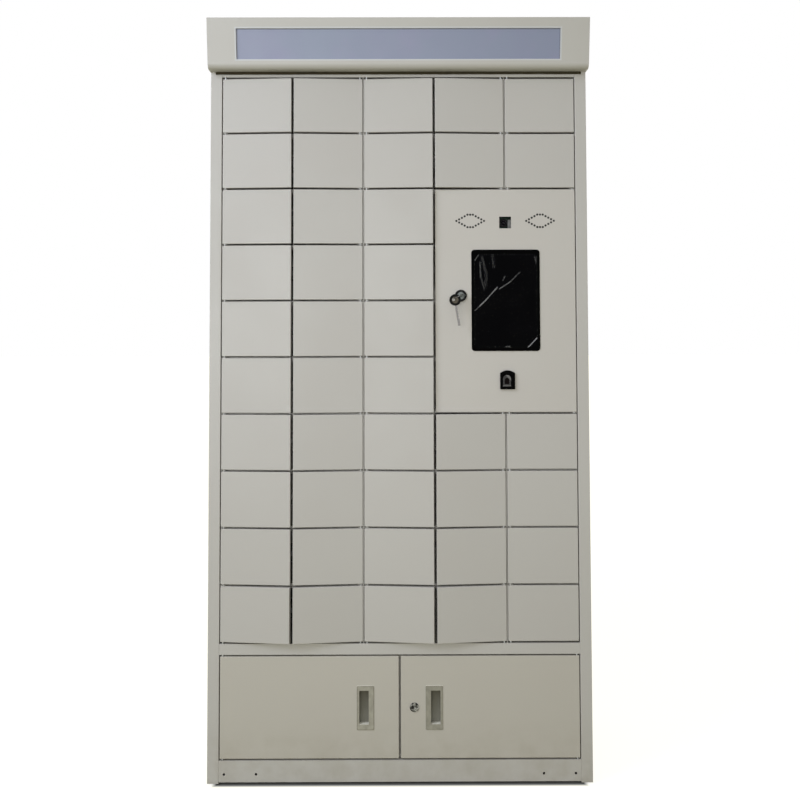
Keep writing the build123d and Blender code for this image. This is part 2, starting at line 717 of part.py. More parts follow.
def fingerprint_reader():
    """Arched bezel with a recess, a raised finger guide, the sensor's window and a housing behind."""
    floor = FRONT - READER_PROUD + READER_RECESS_DEEP
    bezel = extrude(front_plane(READER_X, FRONT, READER_Z) * arch(*READER_BEZEL), READER_PROUD)
    recess = front_plane(READER_X + READER_RECESS_AT[0], floor, READER_Z + READER_RECESS_AT[1])
    bezel -= extrude(recess * arch(*READER_RECESS), READER_RECESS_DEEP + CUT_PAST)
    sensor = Pos(0, -READER_WINDOW_DOWN) * arch(*READER_WINDOW)
    guide = extrude(recess * (arch(*READER_GUIDE) - sensor), READER_GUIDE_PROUD)
    window = extrude(recess * sensor, READER_WINDOW_PROUD)
    wide, deep, high = READER_HOUSING
    left, low = READER_X - wide / 2, READER_Z - high / 2
    return [bezel, guide, window, block(left, left + wide, FRONT, FRONT + deep, low, low + high)]


def camera_module():
    """Open bracket behind the window, its glass, the lens barrel and the board that carries it."""
    x, z = CAMERA_X, CAMERA_Z
    outer = CAMERA_WINDOW / 2 + CAMERA_FRAME_OUT
    inner = CAMERA_WINDOW / 2 + CAMERA_FRAME_IN
    near, far = FRONT + SHEET, FRONT + CAMERA_DEEP
    bracket = block(x - outer, x + outer, near, far, z - outer, z + outer)
    bracket -= block(x - inner, x + inner, near, far, z - inner, z + inner)
    pane = block(x - inner, x + inner, near, near + CAMERA_PANE, z - inner, z + inner)
    board = block(x - outer, x + outer, far, far + BOARD_THICK, z - outer, z + outer)
    lens = front_plane(CAMERA_LENS_X, far, z)
    barrel = extrude(lens * RegularPolygon(CAMERA_LENS_R, LENS_SIDES), CAMERA_LENS_DEEP)
    iris = RegularPolygon(CAMERA_IRIS_R, LENS_SIDES)
    barrel -= extrude(lens.offset(CAMERA_LENS_DEEP - CAMERA_IRIS_DEEP) * iris, CAMERA_IRIS_DEEP)
    return [bracket, pane, board, barrel]


def speaker(x):
    """Flat loudspeaker behind its holes: basket with its cone's recess, and magnet."""
    near = FRONT + SHEET
    rear = near + SPEAKER_FRAME_DEEP
    frame = chamfer(Rectangle(*SPEAKER_FRAME).vertices(), SPEAKER_FRAME_CORNER)
    basket = extrude(front_plane(x, rear, SPEAKER_Z) * frame, SPEAKER_FRAME_DEEP)
    cone = chamfer(Rectangle(*SPEAKER_CONE).vertices(), SPEAKER_CONE_CORNER)
    basket -= extrude(front_plane(x, near + SPEAKER_CONE_DEEP, SPEAKER_Z) * cone, SPEAKER_CONE_DEEP)
    magnet = RegularPolygon(MAGNET_R, MAGNET_SIDES)
    return [basket, extrude(front_plane(x, rear + MAGNET_DEEP, SPEAKER_Z) * magnet, MAGNET_DEEP)]


def key_outline(bow_r, hole, hole_r, blade_w, blade_l, lean):
    """Flat key seen face on, with its bow's middle at the origin and its blade turned by lean from down."""
    blade = Pos(0, -(bow_r + blade_l) / 2) * Rectangle(blade_w, bow_r + blade_l)
    for notch in range(KEY_NOTCHES):
        y = -bow_r - KEY_NOTCH_FIRST - notch * KEY_NOTCH_STEP
        blade -= Pos(blade_w / 2, y) * Rectangle(*KEY_NOTCH, rotation=45)
    bow = RegularPolygon(bow_r, ROUND_SIDES)
    return Rot(0, 0, lean) * (blade + bow) - Pos(*hole) * RegularPolygon(hole_r, HOLE_SIDES)


def control_key():
    """Plug, cam, the key that stands in it and the ring through the key's bow."""
    plug = lock_plug(LOCK_X, LOCK_Z, PLUG_R, LOCK_PROUD, LOCK_REACH, LOCK_KEYWAY)
    arm = cam(LOCK_X, LOCK_Z, FRONT + LOCK_REACH + PLUG_BEYOND, *LOCK_CAM)
    lying = Plane(origin=(LOCK_X, KEY_BOW_Y, LOCK_Z - KEY_THICK / 2), x_dir=(1, 0, 0), z_dir=(0, 0, 1))
    neck_long = KEY_BOW_R + KEY_NECK + KEY_IN_PLUG
    neck = Pos(0, neck_long / 2) * Rectangle(KEY_NECK_WIDE, neck_long)
    bow = neck + RegularPolygon(KEY_BOW_R, ROUND_SIDES)
    bow -= Pos(RING_X, KEY_HOLE_Y) * RegularPolygon(KEY_HOLE_R, HOLE_SIDES)
    key = extrude(lying * bow, KEY_THICK)
    plane = Plane(origin=RING_MIDDLE, x_dir=(0, 1, 0), z_dir=RING_NORMAL)
    washer = RegularPolygon(RING_R + RING_WIRE_R, ROUND_SIDES)
    washer -= RegularPolygon(RING_R - RING_WIRE_R, ROUND_SIDES)
    ring = extrude(plane.offset(-RING_WIRE_R) * washer, 2 * RING_WIRE_R)
    return [plug, arm, key, ring]


def spare_key():
    """Key that hangs face on from the ring, its hole's upper edge on the wire."""
    hang = RING_MIDDLE + RING_DOWN * RING_R
    drop = SPARE_HOLE_R - RING_WIRE_R * math.sqrt(2) - SPARE_PLAY
    bow = Vector(SPARE_BOW_X, 0, SPARE_BOW_Z)
    hole = (-bow.X, -bow.Z - drop)
    outline = key_outline(SPARE_BOW_R, hole, SPARE_HOLE_R, SPARE_BLADE_W, SPARE_BLADE_L, SPARE_LEAN)
    plane = front_plane(hang.X + bow.X, hang.Y + KEY_THICK / 2, hang.Z + bow.Z)
    return [extrude(plane * outline, KEY_THICK)]


def lower_door(side):
    """Large door with its pull cup; the left one carries a keeper plate, the right one a lock barrel."""
    hinge, free = side * CONTROL_HINGE, side * LOWER_GAP / 2
    door = pan(hinge, free, LOWER_BOTTOM, LOWER_TOP, LOWER_DEEP, side * CONTROL_PIVOT)
    near, far, low, high = cup_walls(side)
    door -= block(near, far, FRONT - CUT_PAST, FRONT + SHEET + CUT_PAST, low, high)
    if side > 0:
        hole = RegularPolygon(CAM_BODY_R, 6, major_radius=False)
        door -= front_cut(Pos(CAM_LOCK_X, CAM_LOCK_Z) * hole)
        fitting = lock_barrel(
            CAM_LOCK_X, CAM_LOCK_Z, CAM_FACE_R, CAM_BODY_R, CAM_PLUG_R, CAM_PROUD, CAM_REACH
        )
    else:
        right = -POST_HALF - CATCH_PLATE_IN
        low, high = CATCH_Z - CATCH_PLATE[2] / 2, CATCH_Z + CATCH_PLATE[2] / 2
        near, far = FRONT + SHEET, FRONT + SHEET + CATCH_PLATE[1]
        fitting = block(right - CATCH_PLATE[0], right, near, far, low, high)
    return [door, pull_cup(side), fitting]


def cup_walls(side):
    """Outside of a pull cup's pocket: near and far X, low and high Z."""
    near = side * (CUP_X - CUP[0] / 2 + CUP_EDGE)
    far = side * (CUP_X + CUP[0] / 2 - CUP_FAR + CUP_WALL)
    low = CUP_Z - CUP[1] / 2 + CUP_FOOT - CUP_WALL
    high = CUP_Z + CUP[1] / 2 - CUP_TOP + CUP_WALL
    return near, far, low, high


def pull_cup(side):
    """Recessed grip: flange on the door, pocket behind it, undercut towards the door's free edge."""
    flange = chamfer(Rectangle(*CUP).vertices(), CUP_CORNER)
    cup = extrude(front_plane(side * CUP_X, FRONT, CUP_Z) * flange, CUP_PROUD)
    near, far, low, high = cup_walls(side)
    floor = FRONT + CUP_DEEP
    cup += block(near, far, FRONT, floor + CUP_WALL, low, high)
    low, high = low + CUP_WALL, high - CUP_WALL
    near = side * (CUP_X - CUP[0] / 2 + CUP_NEAR)
    far = side * (CUP_X + CUP[0] / 2 - CUP_FAR)
    cup -= block(near, far, FRONT - CUP_PROUD - CUT_PAST, floor, low, high)
    return cup - block(near - side * CUP_UNDERCUT, far, FRONT + CUP_WALL, floor, low, high)


def lower_lock():
    """Plug with its keyway and the cam that turns behind the centre post."""
    plug = lock_plug(CAM_LOCK_X, CAM_LOCK_Z, CAM_PLUG_R, CAM_PROUD, CAM_REACH, CAM_KEYWAY)
    return [plug, cam(CAM_LOCK_X, CAM_LOCK_Z, FRONT + CAM_REACH + PLUG_BEYOND, *LOWER_CAM)]


def power_inlet():
    """Flanged socket in the back panel, with three flat contacts in its recess."""
    half_w, half_h = INLET[0] / 2, INLET[1] / 2
    low, high = INLET_Z - half_h, INLET_Z + half_h
    inlet = block(INLET_X - half_w, INLET_X + half_w, BACK_SHEET - INLET_DEEP, BACK - SHEET, low, high)
    flange = (half_w + INLET_LAP, half_h + INLET_LAP)
    low, high = INLET_Z - flange[1], INLET_Z + flange[1]
    inlet += block(INLET_X - flange[0], INLET_X + flange[0], BACK - SHEET, BACK, low, high)
    low, high = INLET_Z - SOCKET[1] / 2, INLET_Z + SOCKET[1] / 2
    inlet -= block(INLET_X - SOCKET[0] / 2, INLET_X + SOCKET[0] / 2, BACK - SOCKET_DEEP, BACK, low, high)
    near, far = BACK - SOCKET_DEEP, BACK - CONTACT_SUNK
    for dx, dz in CONTACTS:
        left, low = INLET_X + dx - CONTACT[0] / 2, INLET_Z + dz - CONTACT[1] / 2
        inlet += block(left, left + CONTACT[0], near, far, low, low + CONTACT[1])
    return inlet


def control_board():
    """Circuit board on four stand-offs, with a processor and two long rows of plugs for the latches."""
    half_w, half_h = BOARD[0] / 2, BOARD[1] / 2
    rear = BACK_SHEET - BOARD_STAND
    face = rear - BOARD_THICK
    board = block(BOARD_X - half_w, BOARD_X + half_w, face, rear, BOARD_Z - half_h, BOARD_Z + half_h)
    half = STANDOFF / 2
    for x in (BOARD_X - half_w + STANDOFF, BOARD_X + half_w - STANDOFF):
        for z in (BOARD_Z - half_h + STANDOFF, BOARD_Z + half_h - STANDOFF):
            board += block(x - half, x + half, rear, BACK_SHEET, z - half, z + half)
    left, right = BOARD_X - half_w + SOCKET_ROW_IN[0], BOARD_X + half_w - SOCKET_ROW_IN[0]
    for z in (BOARD_Z - half_h + SOCKET_ROW_IN[1], BOARD_Z + half_h - SOCKET_ROW_IN[1]):
        low, high = z - SOCKET_ROW[0] / 2, z + SOCKET_ROW[0] / 2
        board += block(left, right, face - SOCKET_ROW[1], face, low, high)
    half = PROCESSOR[0] / 2
    near = face - PROCESSOR[1]
    return board + block(BOARD_X - half, BOARD_X + half, near, face, BOARD_Z - half, BOARD_Z + half)


def electrics():
    """Power supply and control board on the bay's back, the power inlet, and the sign's light bar."""
    low, high = SUPPLY_Z - SUPPLY[2] / 2, SUPPLY_Z + SUPPLY[2] / 2
    face = BACK_SHEET - SUPPLY[1]
    supply = block(SUPPLY_X - SUPPLY[0] / 2, SUPPLY_X + SUPPLY[0] / 2, face, BACK_SHEET, low, high)
    supply = chamfer(at_depth(supply.edges(), face), SUPPLY_BEVEL)
    return [supply, control_board(), power_inlet()] + light_bar()


def write(name, solids):
    """Write one piece, or a group of like pieces, as a STEP file."""
    export_step(Compound(children=list(solids)), f"parts/{name}.step")


os.makedirs("parts", exist_ok=True)
write("carcass", carcass())
write("compartment_grid", shelves() + partitions() + [control_keeper()])
write("hinge_pins", hinge_pins())
write("levelling_feet", [levelling_foot(side * FOOT_X, y) for side in (-1, 1) for y in FOOT_Y])
write("header_canopy", hood())
write("sign_panel", [sign_slab(SIGN_LAP, SIGN_RECESS, SIGN_RECESS + SIGN_THICK)])
write("electrics", electrics())
write("control_door", control_door())
write("touch_screen", touch_screen())
write("fingerprint_reader", fingerprint_reader())
write("camera_module", camera_module())
write("speakers", [piece for x in SPEAKERS_X for piece in speaker(x)])
write("control_lock_key", control_key())
write("spare_key", spare_key())
write("lower_door_left", lower_door(-1))
write("lower_door_right", lower_door(1))
write("lower_lock_plug", lower_lock())

cells = [(row, column) for row in range(ROWS) for column in range(COLUMNS) if has_door(row, column)]
write("latch_units", [latch_unit(row, column) for row, column in cells])
for row, column in cells:
    write(f"door_r{row + 1:02d}_c{column + 1}", small_door(row, column))
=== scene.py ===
import json
import math

import bmesh
import bpy
from mathutils import Matrix, Vector


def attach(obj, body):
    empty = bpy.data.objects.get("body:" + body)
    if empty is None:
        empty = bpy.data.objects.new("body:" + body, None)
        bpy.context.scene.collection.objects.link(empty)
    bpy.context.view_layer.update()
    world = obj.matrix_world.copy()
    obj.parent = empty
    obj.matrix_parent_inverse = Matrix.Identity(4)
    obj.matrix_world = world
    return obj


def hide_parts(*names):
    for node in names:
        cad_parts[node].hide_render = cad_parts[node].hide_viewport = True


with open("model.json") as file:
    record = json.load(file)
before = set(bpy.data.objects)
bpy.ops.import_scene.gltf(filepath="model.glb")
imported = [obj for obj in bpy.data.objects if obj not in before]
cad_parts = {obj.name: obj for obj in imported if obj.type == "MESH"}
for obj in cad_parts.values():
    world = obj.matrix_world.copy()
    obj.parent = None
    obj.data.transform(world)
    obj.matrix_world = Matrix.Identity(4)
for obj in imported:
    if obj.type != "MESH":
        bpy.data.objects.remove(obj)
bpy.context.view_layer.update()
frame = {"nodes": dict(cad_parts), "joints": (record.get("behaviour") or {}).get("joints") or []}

nodes = frame["nodes"]
joint_of = {joint["child"]: joint for joint in frame["joints"]}

# Camera: it stands two and a half metres in front of the doors at the screen's height and looks very
# slightly up, with its frame moved down so that the whole cabinet stands upright in the picture.
CAMERA_PLACE = Vector((-0.0089, -2.6559, 1.0912))
CAMERA_LENS = 45.585
CAMERA_SENSOR = 36.0
CAMERA_PITCH = math.radians(2.594)
CAMERA_YAW = math.radians(0.205)
CAMERA_ROLL = math.radians(-0.140)
CAMERA_SHIFT = (0.0014, -0.1449)

camera_data = bpy.data.cameras.new("camera")
camera_data.lens = CAMERA_LENS
camera_data.sensor_width = CAMERA_SENSOR
camera_data.shift_x, camera_data.shift_y = CAMERA_SHIFT
camera = bpy.data.objects.new("camera", camera_data)
bpy.context.scene.collection.objects.link(camera)
bpy.context.scene.camera = camera
ahead = Vector((math.sin(CAMERA_YAW), math.cos(CAMERA_YAW), math.tan(CAMERA_PITCH))).normalized()
level = Vector((math.cos(CAMERA_YAW), -math.sin(CAMERA_YAW), 0.0))
upright = level.cross(ahead)
right = level * math.cos(CAMERA_ROLL) + upright * math.sin(CAMERA_ROLL)
above = upright * math.cos(CAMERA_ROLL) - level * math.sin(CAMERA_ROLL)
turn = Matrix((right, above, -ahead)).transposed().to_4x4()
camera.matrix_world = Matrix.Translation(CAMERA_PLACE) @ turn

# Light: one large soft lamp high on the left, slightly cool, which makes the doors that turn left the
# lighter ones, a weak broad one in front, and an even warm room around. View settings stay plain.
# Each lamp: its name, its place, the point it aims at, its size, watts, spread in degrees and colour.
LAMPS = (
    ("key_lamp", (-2.1, -1.9, 2.45), (0.1, 0.0, 1.35), (1.4, 1.4), 43.0, 180.0, (0.92, 0.98, 1.13)),
    ("front_lamp", (-0.7, -3.5, 1.15), (0.3, 0.0, 1.15), (2.0, 1.0), 7.9, 80.0, (0.98, 0.985, 1.0)),
)
ROOM_TINT = (0.99, 0.985, 0.94)
ROOM_LIGHT = 0.50

bpy.context.scene.view_settings.view_transform = "Standard"
for name, place, aim, size, watts, spread, colour in LAMPS:
    lamp = bpy.data.lights.new(name, "AREA")
    lamp.shape = "RECTANGLE"
    lamp.size, lamp.size_y = size
    lamp.energy = watts
    lamp.color = colour
    lamp.spread = math.radians(spread)
    lamp_object = bpy.data.objects.new(name, lamp)
    turn = (Vector(aim) - Vector(place)).to_track_quat("-Z", "Y").to_matrix().to_4x4()
    lamp_object.matrix_world = Matrix.Translation(place) @ turn
    bpy.context.scene.collection.objects.link(lamp_object)


def fed(inputs, values):
    """Links or sets a node's inputs by name or number; a plain colour is given without its alpha."""
    for label, value in values.items():
        socket = inputs[label]
        if isinstance(value, bpy.types.NodeSocket):
            socket.id_data.links.new(value, socket)
        else:
            socket.default_value = (*value, 1.0) if socket.type == "RGBA" else value


def added(tree, kind, values, **settings):
    """Outputs of a new shader node, made with its settings and its inputs."""
    node = tree.nodes.new("ShaderNode" + kind)
    for setting, value in settings.items():
        setattr(node, setting, value)
    fed(node.inputs, values)
    return node.outputs


def reckoned(operation, first, second=0.0):
    """One step of arithmetic on two values, of which at least one is a socket."""
    tree = (first if isinstance(first, bpy.types.NodeSocket) else second).id_data
    return added(tree, "Math", {0: first, 1: second}, operation=operation)[0]


def seen_by(tree, *kinds):
    """One for rays of the named kinds, and nought for all others."""
    rays = added(tree, "LightPath", {})
    seen = rays[kinds[0]]
    for kind in kinds[1:]:
        seen = reckoned("MAXIMUM", seen, rays[kind])
    return seen


world = bpy.data.worlds.new("room")
bpy.context.scene.world = world
world.use_nodes = True
room = world.node_tree
warm = room.nodes["Background"]
fed(warm.inputs, {"Color": ROOM_TINT, "Strength": ROOM_LIGHT})
white = added(room, "Background", {"Color": (1.0, 1.0, 1.0)})[0]
seen = seen_by(room, "Is Camera Ray", "Is Glossy Ray", "Is Transmission Ray")
picked = added(room, "MixShader", {0: seen, 1: warm.outputs[0], 2: white})[0]
fed(room.nodes["World Output"].inputs, {"Surface": picked})

# Floor: a wide pale sheet that runs out of sight to the white room and keeps the cabinet's soft shadow. It
# glows only for the camera and for reflections, and not under the cabinet, so the gap below stays dark.
# Under the cabinet and in a thin band round it, its colour is a darker neutral grey, a painted shadow.
FLOOR_HALF = 40.0
FLOOR_WIDE = (0.45, 0.425, 0.26)
FLOOR_PAINTED_SHADOW = (0.25, 0.25, 0.242)
FLOOR_GLOW = 0.86
UNDER_CABINET = (0.442, 0.1715)
UNDER_FADE = 0.012


def new_material(name):
    """New material, with its Principled shader's inputs and its Object coordinates."""
    material = bpy.data.materials.new(name)
    material.use_nodes = True
    tree = material.node_tree
    return material, tree.nodes["Principled BSDF"].inputs, added(tree, "TexCoord", {})["Object"]


def axes_of(vector):
    """X, Y and Z of a vector socket."""
    return added(vector.id_data, "SeparateXYZ", {0: vector})


def apart(value, middle, half=0.0):
    """How far a value lies from a middle one, less half a width."""
    away = reckoned("ABSOLUTE", reckoned("SUBTRACT", value, middle))
    return reckoned("SUBTRACT", away, half) if half else away


def ranged(value, low, high, to_low=0.0, to_high=1.0):
    """A value moved from one range to another and kept inside it."""
    return added(value.id_data, "MapRange", {0: value, 1: low, 2: high, 3: to_low, 4: to_high})[0]


def tinted(factor, colour, other):
    """Two colours mixed by a factor; each colour is a socket or a plain value."""
    return added(factor.id_data, "Mix", {0: factor, 6: colour, 7: other}, data_type="RGBA")[2]


floor_paint, shader, place = new_material("floor_paint")
x, y, _ = axes_of(place)
outwards = reckoned("MAXIMUM", apart(x, 0.0, UNDER_CABINET[0]), apart(y, 0.0, UNDER_CABINET[1]))
outwards = ranged(outwards, 0.0, UNDER_FADE)
glow = reckoned("MULTIPLY", seen_by(place.id_data, "Is Camera Ray", "Is Glossy Ray"), outwards)
# Painted shadow: the floor's colour is a darker neutral grey under the cabinet and in a thin band round it.
fed(shader, {
    "Base Color": tinted(outwards, FLOOR_PAINTED_SHADOW, FLOOR_WIDE), "Roughness": 0.9, "Specular IOR Level": 0.1,
    "Emission Color": (1.0, 1.0, 1.0), "Emission Strength": reckoned("MULTIPLY", glow, FLOOR_GLOW),
})
floor_shape = bmesh.new()
bmesh.ops.create_grid(floor_shape, x_segments=1, y_segments=1, size=FLOOR_HALF)
floor_mesh = bpy.data.meshes.new("floor")
floor_shape.to_mesh(floor_mesh)
floor_shape.free()
floor_mesh.materials.append(floor_paint)
floor = bpy.data.objects.new("floor", floor_mesh)
bpy.context.scene.collection.objects.link(floor)

# Cabinet body: two folded sides, a roof, a deck, a floor with its plinth and a back panel, welded from
# sheet steel and finished with a baked powder coat, a warm light grey with a fine orange-peel skin.
PAINT = (0.502, 0.489, 0.460)
PAINT_DRIFT = (0.36, 0.34, 0.31)
PAINT_WARM = (0.50, 0.42, 0.38)
PAINT_SPECK = (0.26, 0.25, 0.23)
NEAR_FLOOR_TONE = (0.29, 0.26, 0.19)
HOLE_RIM_SHADE = (0.028, 0.027, 0.025)
NEAR_FLOOR_REACH = 0.16
WELD_PITCH = 0.085
WELD_ASIDE = 0.4565
WELD_BEHIND = 0.2279
WELD_EDGE = (0.0022, 0.0032)
WELD_DEEP = 12.0
SOCKETS = {"Place": "NodeSocketVector", "Colour": "NodeSocketColor"}


def new_group(name, inputs, outputs):
    """Shader group with named sockets, with what its input node gives and its output node takes."""
    tree = bpy.data.node_groups.new(name, "ShaderNodeTree")
    for side, labels in (("INPUT", inputs), ("OUTPUT", outputs)):
        for label in labels:
            kind = SOCKETS.get(label, "NodeSocketFloat")
            tree.interface.new_socket(label, in_out=side, socket_type=kind)
    return tree, tree.nodes.new("NodeGroupInput").outputs, tree.nodes.new("NodeGroupOutput").inputs


def noise(place, scale, detail, stretch_by=(1.0, 1.0, 1.0)):
    """Noise at a place, at a number of spots per metre, drawn out along an axis if asked."""
    stretched = added(place.id_data, "Mapping", {"Vector": place, "Scale": stretch_by})[0]
    spots = {"Vector": stretched, "Scale": scale, "Detail": detail}
    return added(place.id_data, "TexNoise", spots)["Fac"]


def distance(first, second):
    """Length of the slanted way that two distances at right angles make."""
    squares = [reckoned("MULTIPLY", side, side) for side in (first, second)]
    return reckoned("SQRT", reckoned("ADD", *squares))


def make_coat_group():
    """Powder coat: slow drift of tone, warm patches, fine speckle and an orange-peel height."""
    group, start, end = new_group(
        "powder_coat", ("Place", "Colour", "Drift"), ("Colour", "Roughness", "Height")
    )
    place = start["Place"]
    drift = reckoned("MULTIPLY", ranged(noise(place, 2.3, 3.0), 0.3, 0.7), start["Drift"])
    patches = noise(place, 9.0, 2.0)
    colour = tinted(drift, start["Colour"], PAINT_DRIFT)
    colour = tinted(ranged(patches, 0.45, 0.7, 0.0, 0.04), colour, PAINT_WARM)
    speckle = ranged(noise(place, 900.0, 1.0), 0.3, 0.7, 0.0, 0.03)
    fed(end, {
        "Colour": tinted(speckle, colour, PAINT_SPECK),
        "Roughness": ranged(patches, 0.3, 0.7, 0.40, 0.50),
        "Height": noise(place, 420.0, 2.0),
    })
    return group


def make_near_floor_group():
    """Mask of a darker, warmer tone: strongest at the floor, gone a hand's width up, and broken into cloudy
    patches.
    """
    group, start, end = new_group("near_floor_darkening", ("Place",), ("Mask",))
    low = ranged(axes_of(start["Place"])["Z"], 0.0, NEAR_FLOOR_REACH, 1.0, 0.0)
    cloud = ranged(noise(start["Place"], 26.0, 4.0), 0.35, 0.7)
    fed(end, {"Mask": reckoned("MULTIPLY", low, cloud)})
    return group


def make_weld_group():
    """Spot welds: a row of shallow round dents down the rear hems, where they hold the back panel."""
    group, start, end = new_group("spot_welds", ("Place",), ("Mask",))
    x, y, z = axes_of(start["Place"])
    away = distance(reckoned("PINGPONG", z, WELD_PITCH), apart(x, 0.0, WELD_ASIDE))
    behind = reckoned("GREATER_THAN", y, WELD_BEHIND)
    fed(end, {"Mask": reckoned("MULTIPLY", ranged(away, *WELD_EDGE, 1.0, 0.0), behind)})
    return group


coat_group = make_coat_group()
near_floor_group = make_near_floor_group()
weld_group = make_weld_group()


def placed(group, place, **values):
    """A group in a material, read on Object coordinates, with its own values."""
    return added(place.id_data, "Group", {"Place": place, **values}, node_tree=group)


def bumped(height, depth):
    """Normal from a height socket, with a bump of a real depth in metres."""
    return added(height.id_data, "Bump", {"Height": height, "Distance": depth, "Strength": 1.0})["Normal"]


def powder_coat(name, colour, drift=0.10, welds=False, marked=None, mark=HOLE_RIM_SHADE):
    """Painted sheet steel of one colour, with another tone where a given mask says so."""
    material, shader, place = new_material(name)
    coat = placed(coat_group, place, Colour=colour, Drift=drift)
    # A darker, warmer tone towards the floor.
    near_floor = ranged(placed(near_floor_group, place)["Mask"], 0.0, 1.0, 0.0, 0.35)
    tone, height = tinted(near_floor, coat["Colour"], NEAR_FLOOR_TONE), coat["Height"]
    if marked:
        tone = tinted(marked(place), tone, mark)
    if welds:
        dents = reckoned("MULTIPLY", placed(weld_group, place)["Mask"], WELD_DEEP)
        height = reckoned("SUBTRACT", height, dents)
    fed(shader, {
        "Base Color": tone, "Roughness": coat["Roughness"], "Normal": bumped(height, 0.00002),
        "Specular IOR Level": 0.4,
    })
    return material


def dress(node, material):
    """Give a CAD node its finish."""
    for holder in nodes[node].material_slots:
        holder.material = material


dress("carcass", powder_coat("body_paint", PAINT, welds=True))

# Back panel rivets: aluminium blind rivets that hold the back panel to the partitions, the deck and the
# roof. Each is a thin dome pulled down on the sheet, with the snapped end of its pin in the middle.
RIVET_BACK = 227.5
RIVET_PROFILE = ((0.0, 0.55), (0.9, 0.55), (1.05, 0.35), (1.2, 0.85), (2.2, 0.78), (3.3, 0.45), (3.8, 0.0))
RIVET_PLACES = [(x, z) for x in (-261.0, -87.0, 87.0, 261.0) for z in range(392, 1660, 211)]
RIVET_PLACES += [(x, z) for x in (-392.0, -174.0, 0.0, 174.0, 332.0) for z in (54.0, 321.0, 1723.0)]
MM = 0.001
MERGE = 0.001
SMOOTH_UNDER = math.radians(35.0)


def spun(shape, geometry, centre, axis, steps):
    """A shape spun once round an axis, with its seam closed."""
    bmesh.ops.spin(
        shape, geom=geometry, cent=centre, axis=axis, angle=math.tau, steps=steps, use_merge=True
    )
    bmesh.ops.remove_doubles(shape, verts=shape.verts, dist=MERGE)
    bmesh.ops.recalc_face_normals(shape, faces=shape.faces)
    return shape


def turned(profile, centre, axis, steps):
    """Round form: a profile of (radius, distance along the axis) points, spun about the axis."""
    shape = bmesh.new()
    axis = Vector(axis).normalized()
    side = axis.orthogonal().normalized()
    centre = Vector(centre)
    points = [shape.verts.new(centre + side * radius + axis * along) for radius, along in profile]
    edges = [shape.edges.new(pair) for pair in zip(points, points[1:])]
    return spun(shape, points + edges, centre, axis, steps)


def finished(name, body, parts, finish_slot, *stands_for):
    """Joins parts in millimetres, each with its own material, into one piece that rides on a body."""
    mesh = bpy.data.meshes.new(name)
    whole = bmesh.new()
    materials = []
    for shape, material in parts:
        if material not in materials:
            materials.append(material)
        for face in shape.faces:
            face.material_index = materials.index(material)
            face.smooth = True
        shape.to_mesh(mesh)
        whole.from_mesh(mesh)
        shape.free()
    bmesh.ops.scale(whole, vec=(MM, MM, MM), verts=whole.verts)
    for edge in whole.edges:
        edge.smooth = len(edge.link_faces) == 2 and edge.calc_face_angle() < SMOOTH_UNDER
    whole.to_mesh(mesh)
    whole.free()
    for material in materials:
        mesh.materials.append(material)
    piece = bpy.data.objects.new(name, mesh)
    bpy.context.scene.collection.objects.link(piece)
    even = piece.modifiers.new("even_shading", "WEIGHTED_NORMAL")
    even.keep_sharp = True
    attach(piece, body)
    if stands_for:
        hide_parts(*stands_for)
    return piece


def scaled(colour, factor):
    """A colour made lighter or darker by a factor."""
    return added(colour.id_data, "VectorMath", {0: colour, "Scale": factor}, operation="SCALE")["Vector"]


def make_metal_group():
    """Metal skin: cloudy plating and fine rolling lines along Z, lighter and darker than its colour."""
    group, start, end = new_group("metal_skin", ("Place", "Colour"), ("Colour", "Wear", "Height"))
    cloud = noise(start["Place"], 60.0, 3.0)
    lines = noise(start["Place"], 1500.0, 2.0, (1.0, 1.0, 0.06))
    cloudy, lined = ranged(cloud, 0.35, 0.7, 1.0, 0.8), ranged(lines, 0.35, 0.7, 0.92, 1.16)
    shade = reckoned("MULTIPLY", cloudy, lined)
    fed(end, {"Colour": scaled(start["Colour"], shade), "Wear": cloud, "Height": lines})
    return group


def skinned(name, group, colour, roughness, depth, tone, **values):
    """Material with the skin of a group, its own values, and a second tone where a function puts it."""
    material, shader, place = new_material(name)
    skin = placed(group, place, Colour=colour)
    fed(shader, {
        "Base Color": tone(place, skin["Colour"]) if tone else skin["Colour"],
        "Roughness": ranged(skin["Wear"], 0.3, 0.7, *roughness),
        "Normal": bumped(skin["Height"], depth), **values,
    })
    return material


metal_group = make_metal_group()


def metal(name, colour, *roughness, depth=0.000004, tone=None):
    """Bare or plated metal of one colour, between two roughnesses."""
    return skinned(name, metal_group, colour, roughness, depth, tone, Metallic=1.0)


rivet_metal = metal("rivet_aluminium", (0.55, 0.56, 0.57), 0.32, 0.5)
rivets = [(turned(RIVET_PROFILE, (x, RIVET_BACK, z), (0, 1, 0), 14), rivet_metal) for x, z in RIVET_PLACES]
finished("back_panel_rivets", "cabinet", rivets, "plated_steel")

# Magnetic catch: a black moulded case screwed behind the edge of the centre post, with two steel poles
# that hold the left lower door's keeper plate.
CATCH_LOW, CATCH_HIGH = (-34.15, -163.65, 225.85), (-19.9, -139.35, 258.15)
POLE_X, POLE_Y = (-31.0, -23.0), (-164.1, -160.0)
POLE_Z = ((230.0, 238.0), (246.0, 254.0))
SHARP = math.radians(30.0)


def rounded(shape, offset, segments=3, chosen=None):
    """Rounds the sharp edges of a shape, all of them or those whose two ends pass a test."""
    edges = [
        edge for edge in shape.edges
        if edge.calc_face_angle(0.0) > SHARP and (not chosen or chosen(*(end.co for end in edge.verts)))
    ]
    bmesh.ops.bevel(
        shape, geom=edges, offset=offset, offset_type="OFFSET", segments=segments, profile=0.5,
        affect="EDGES", material=-1, clamp_overlap=True,
    )
    return shape


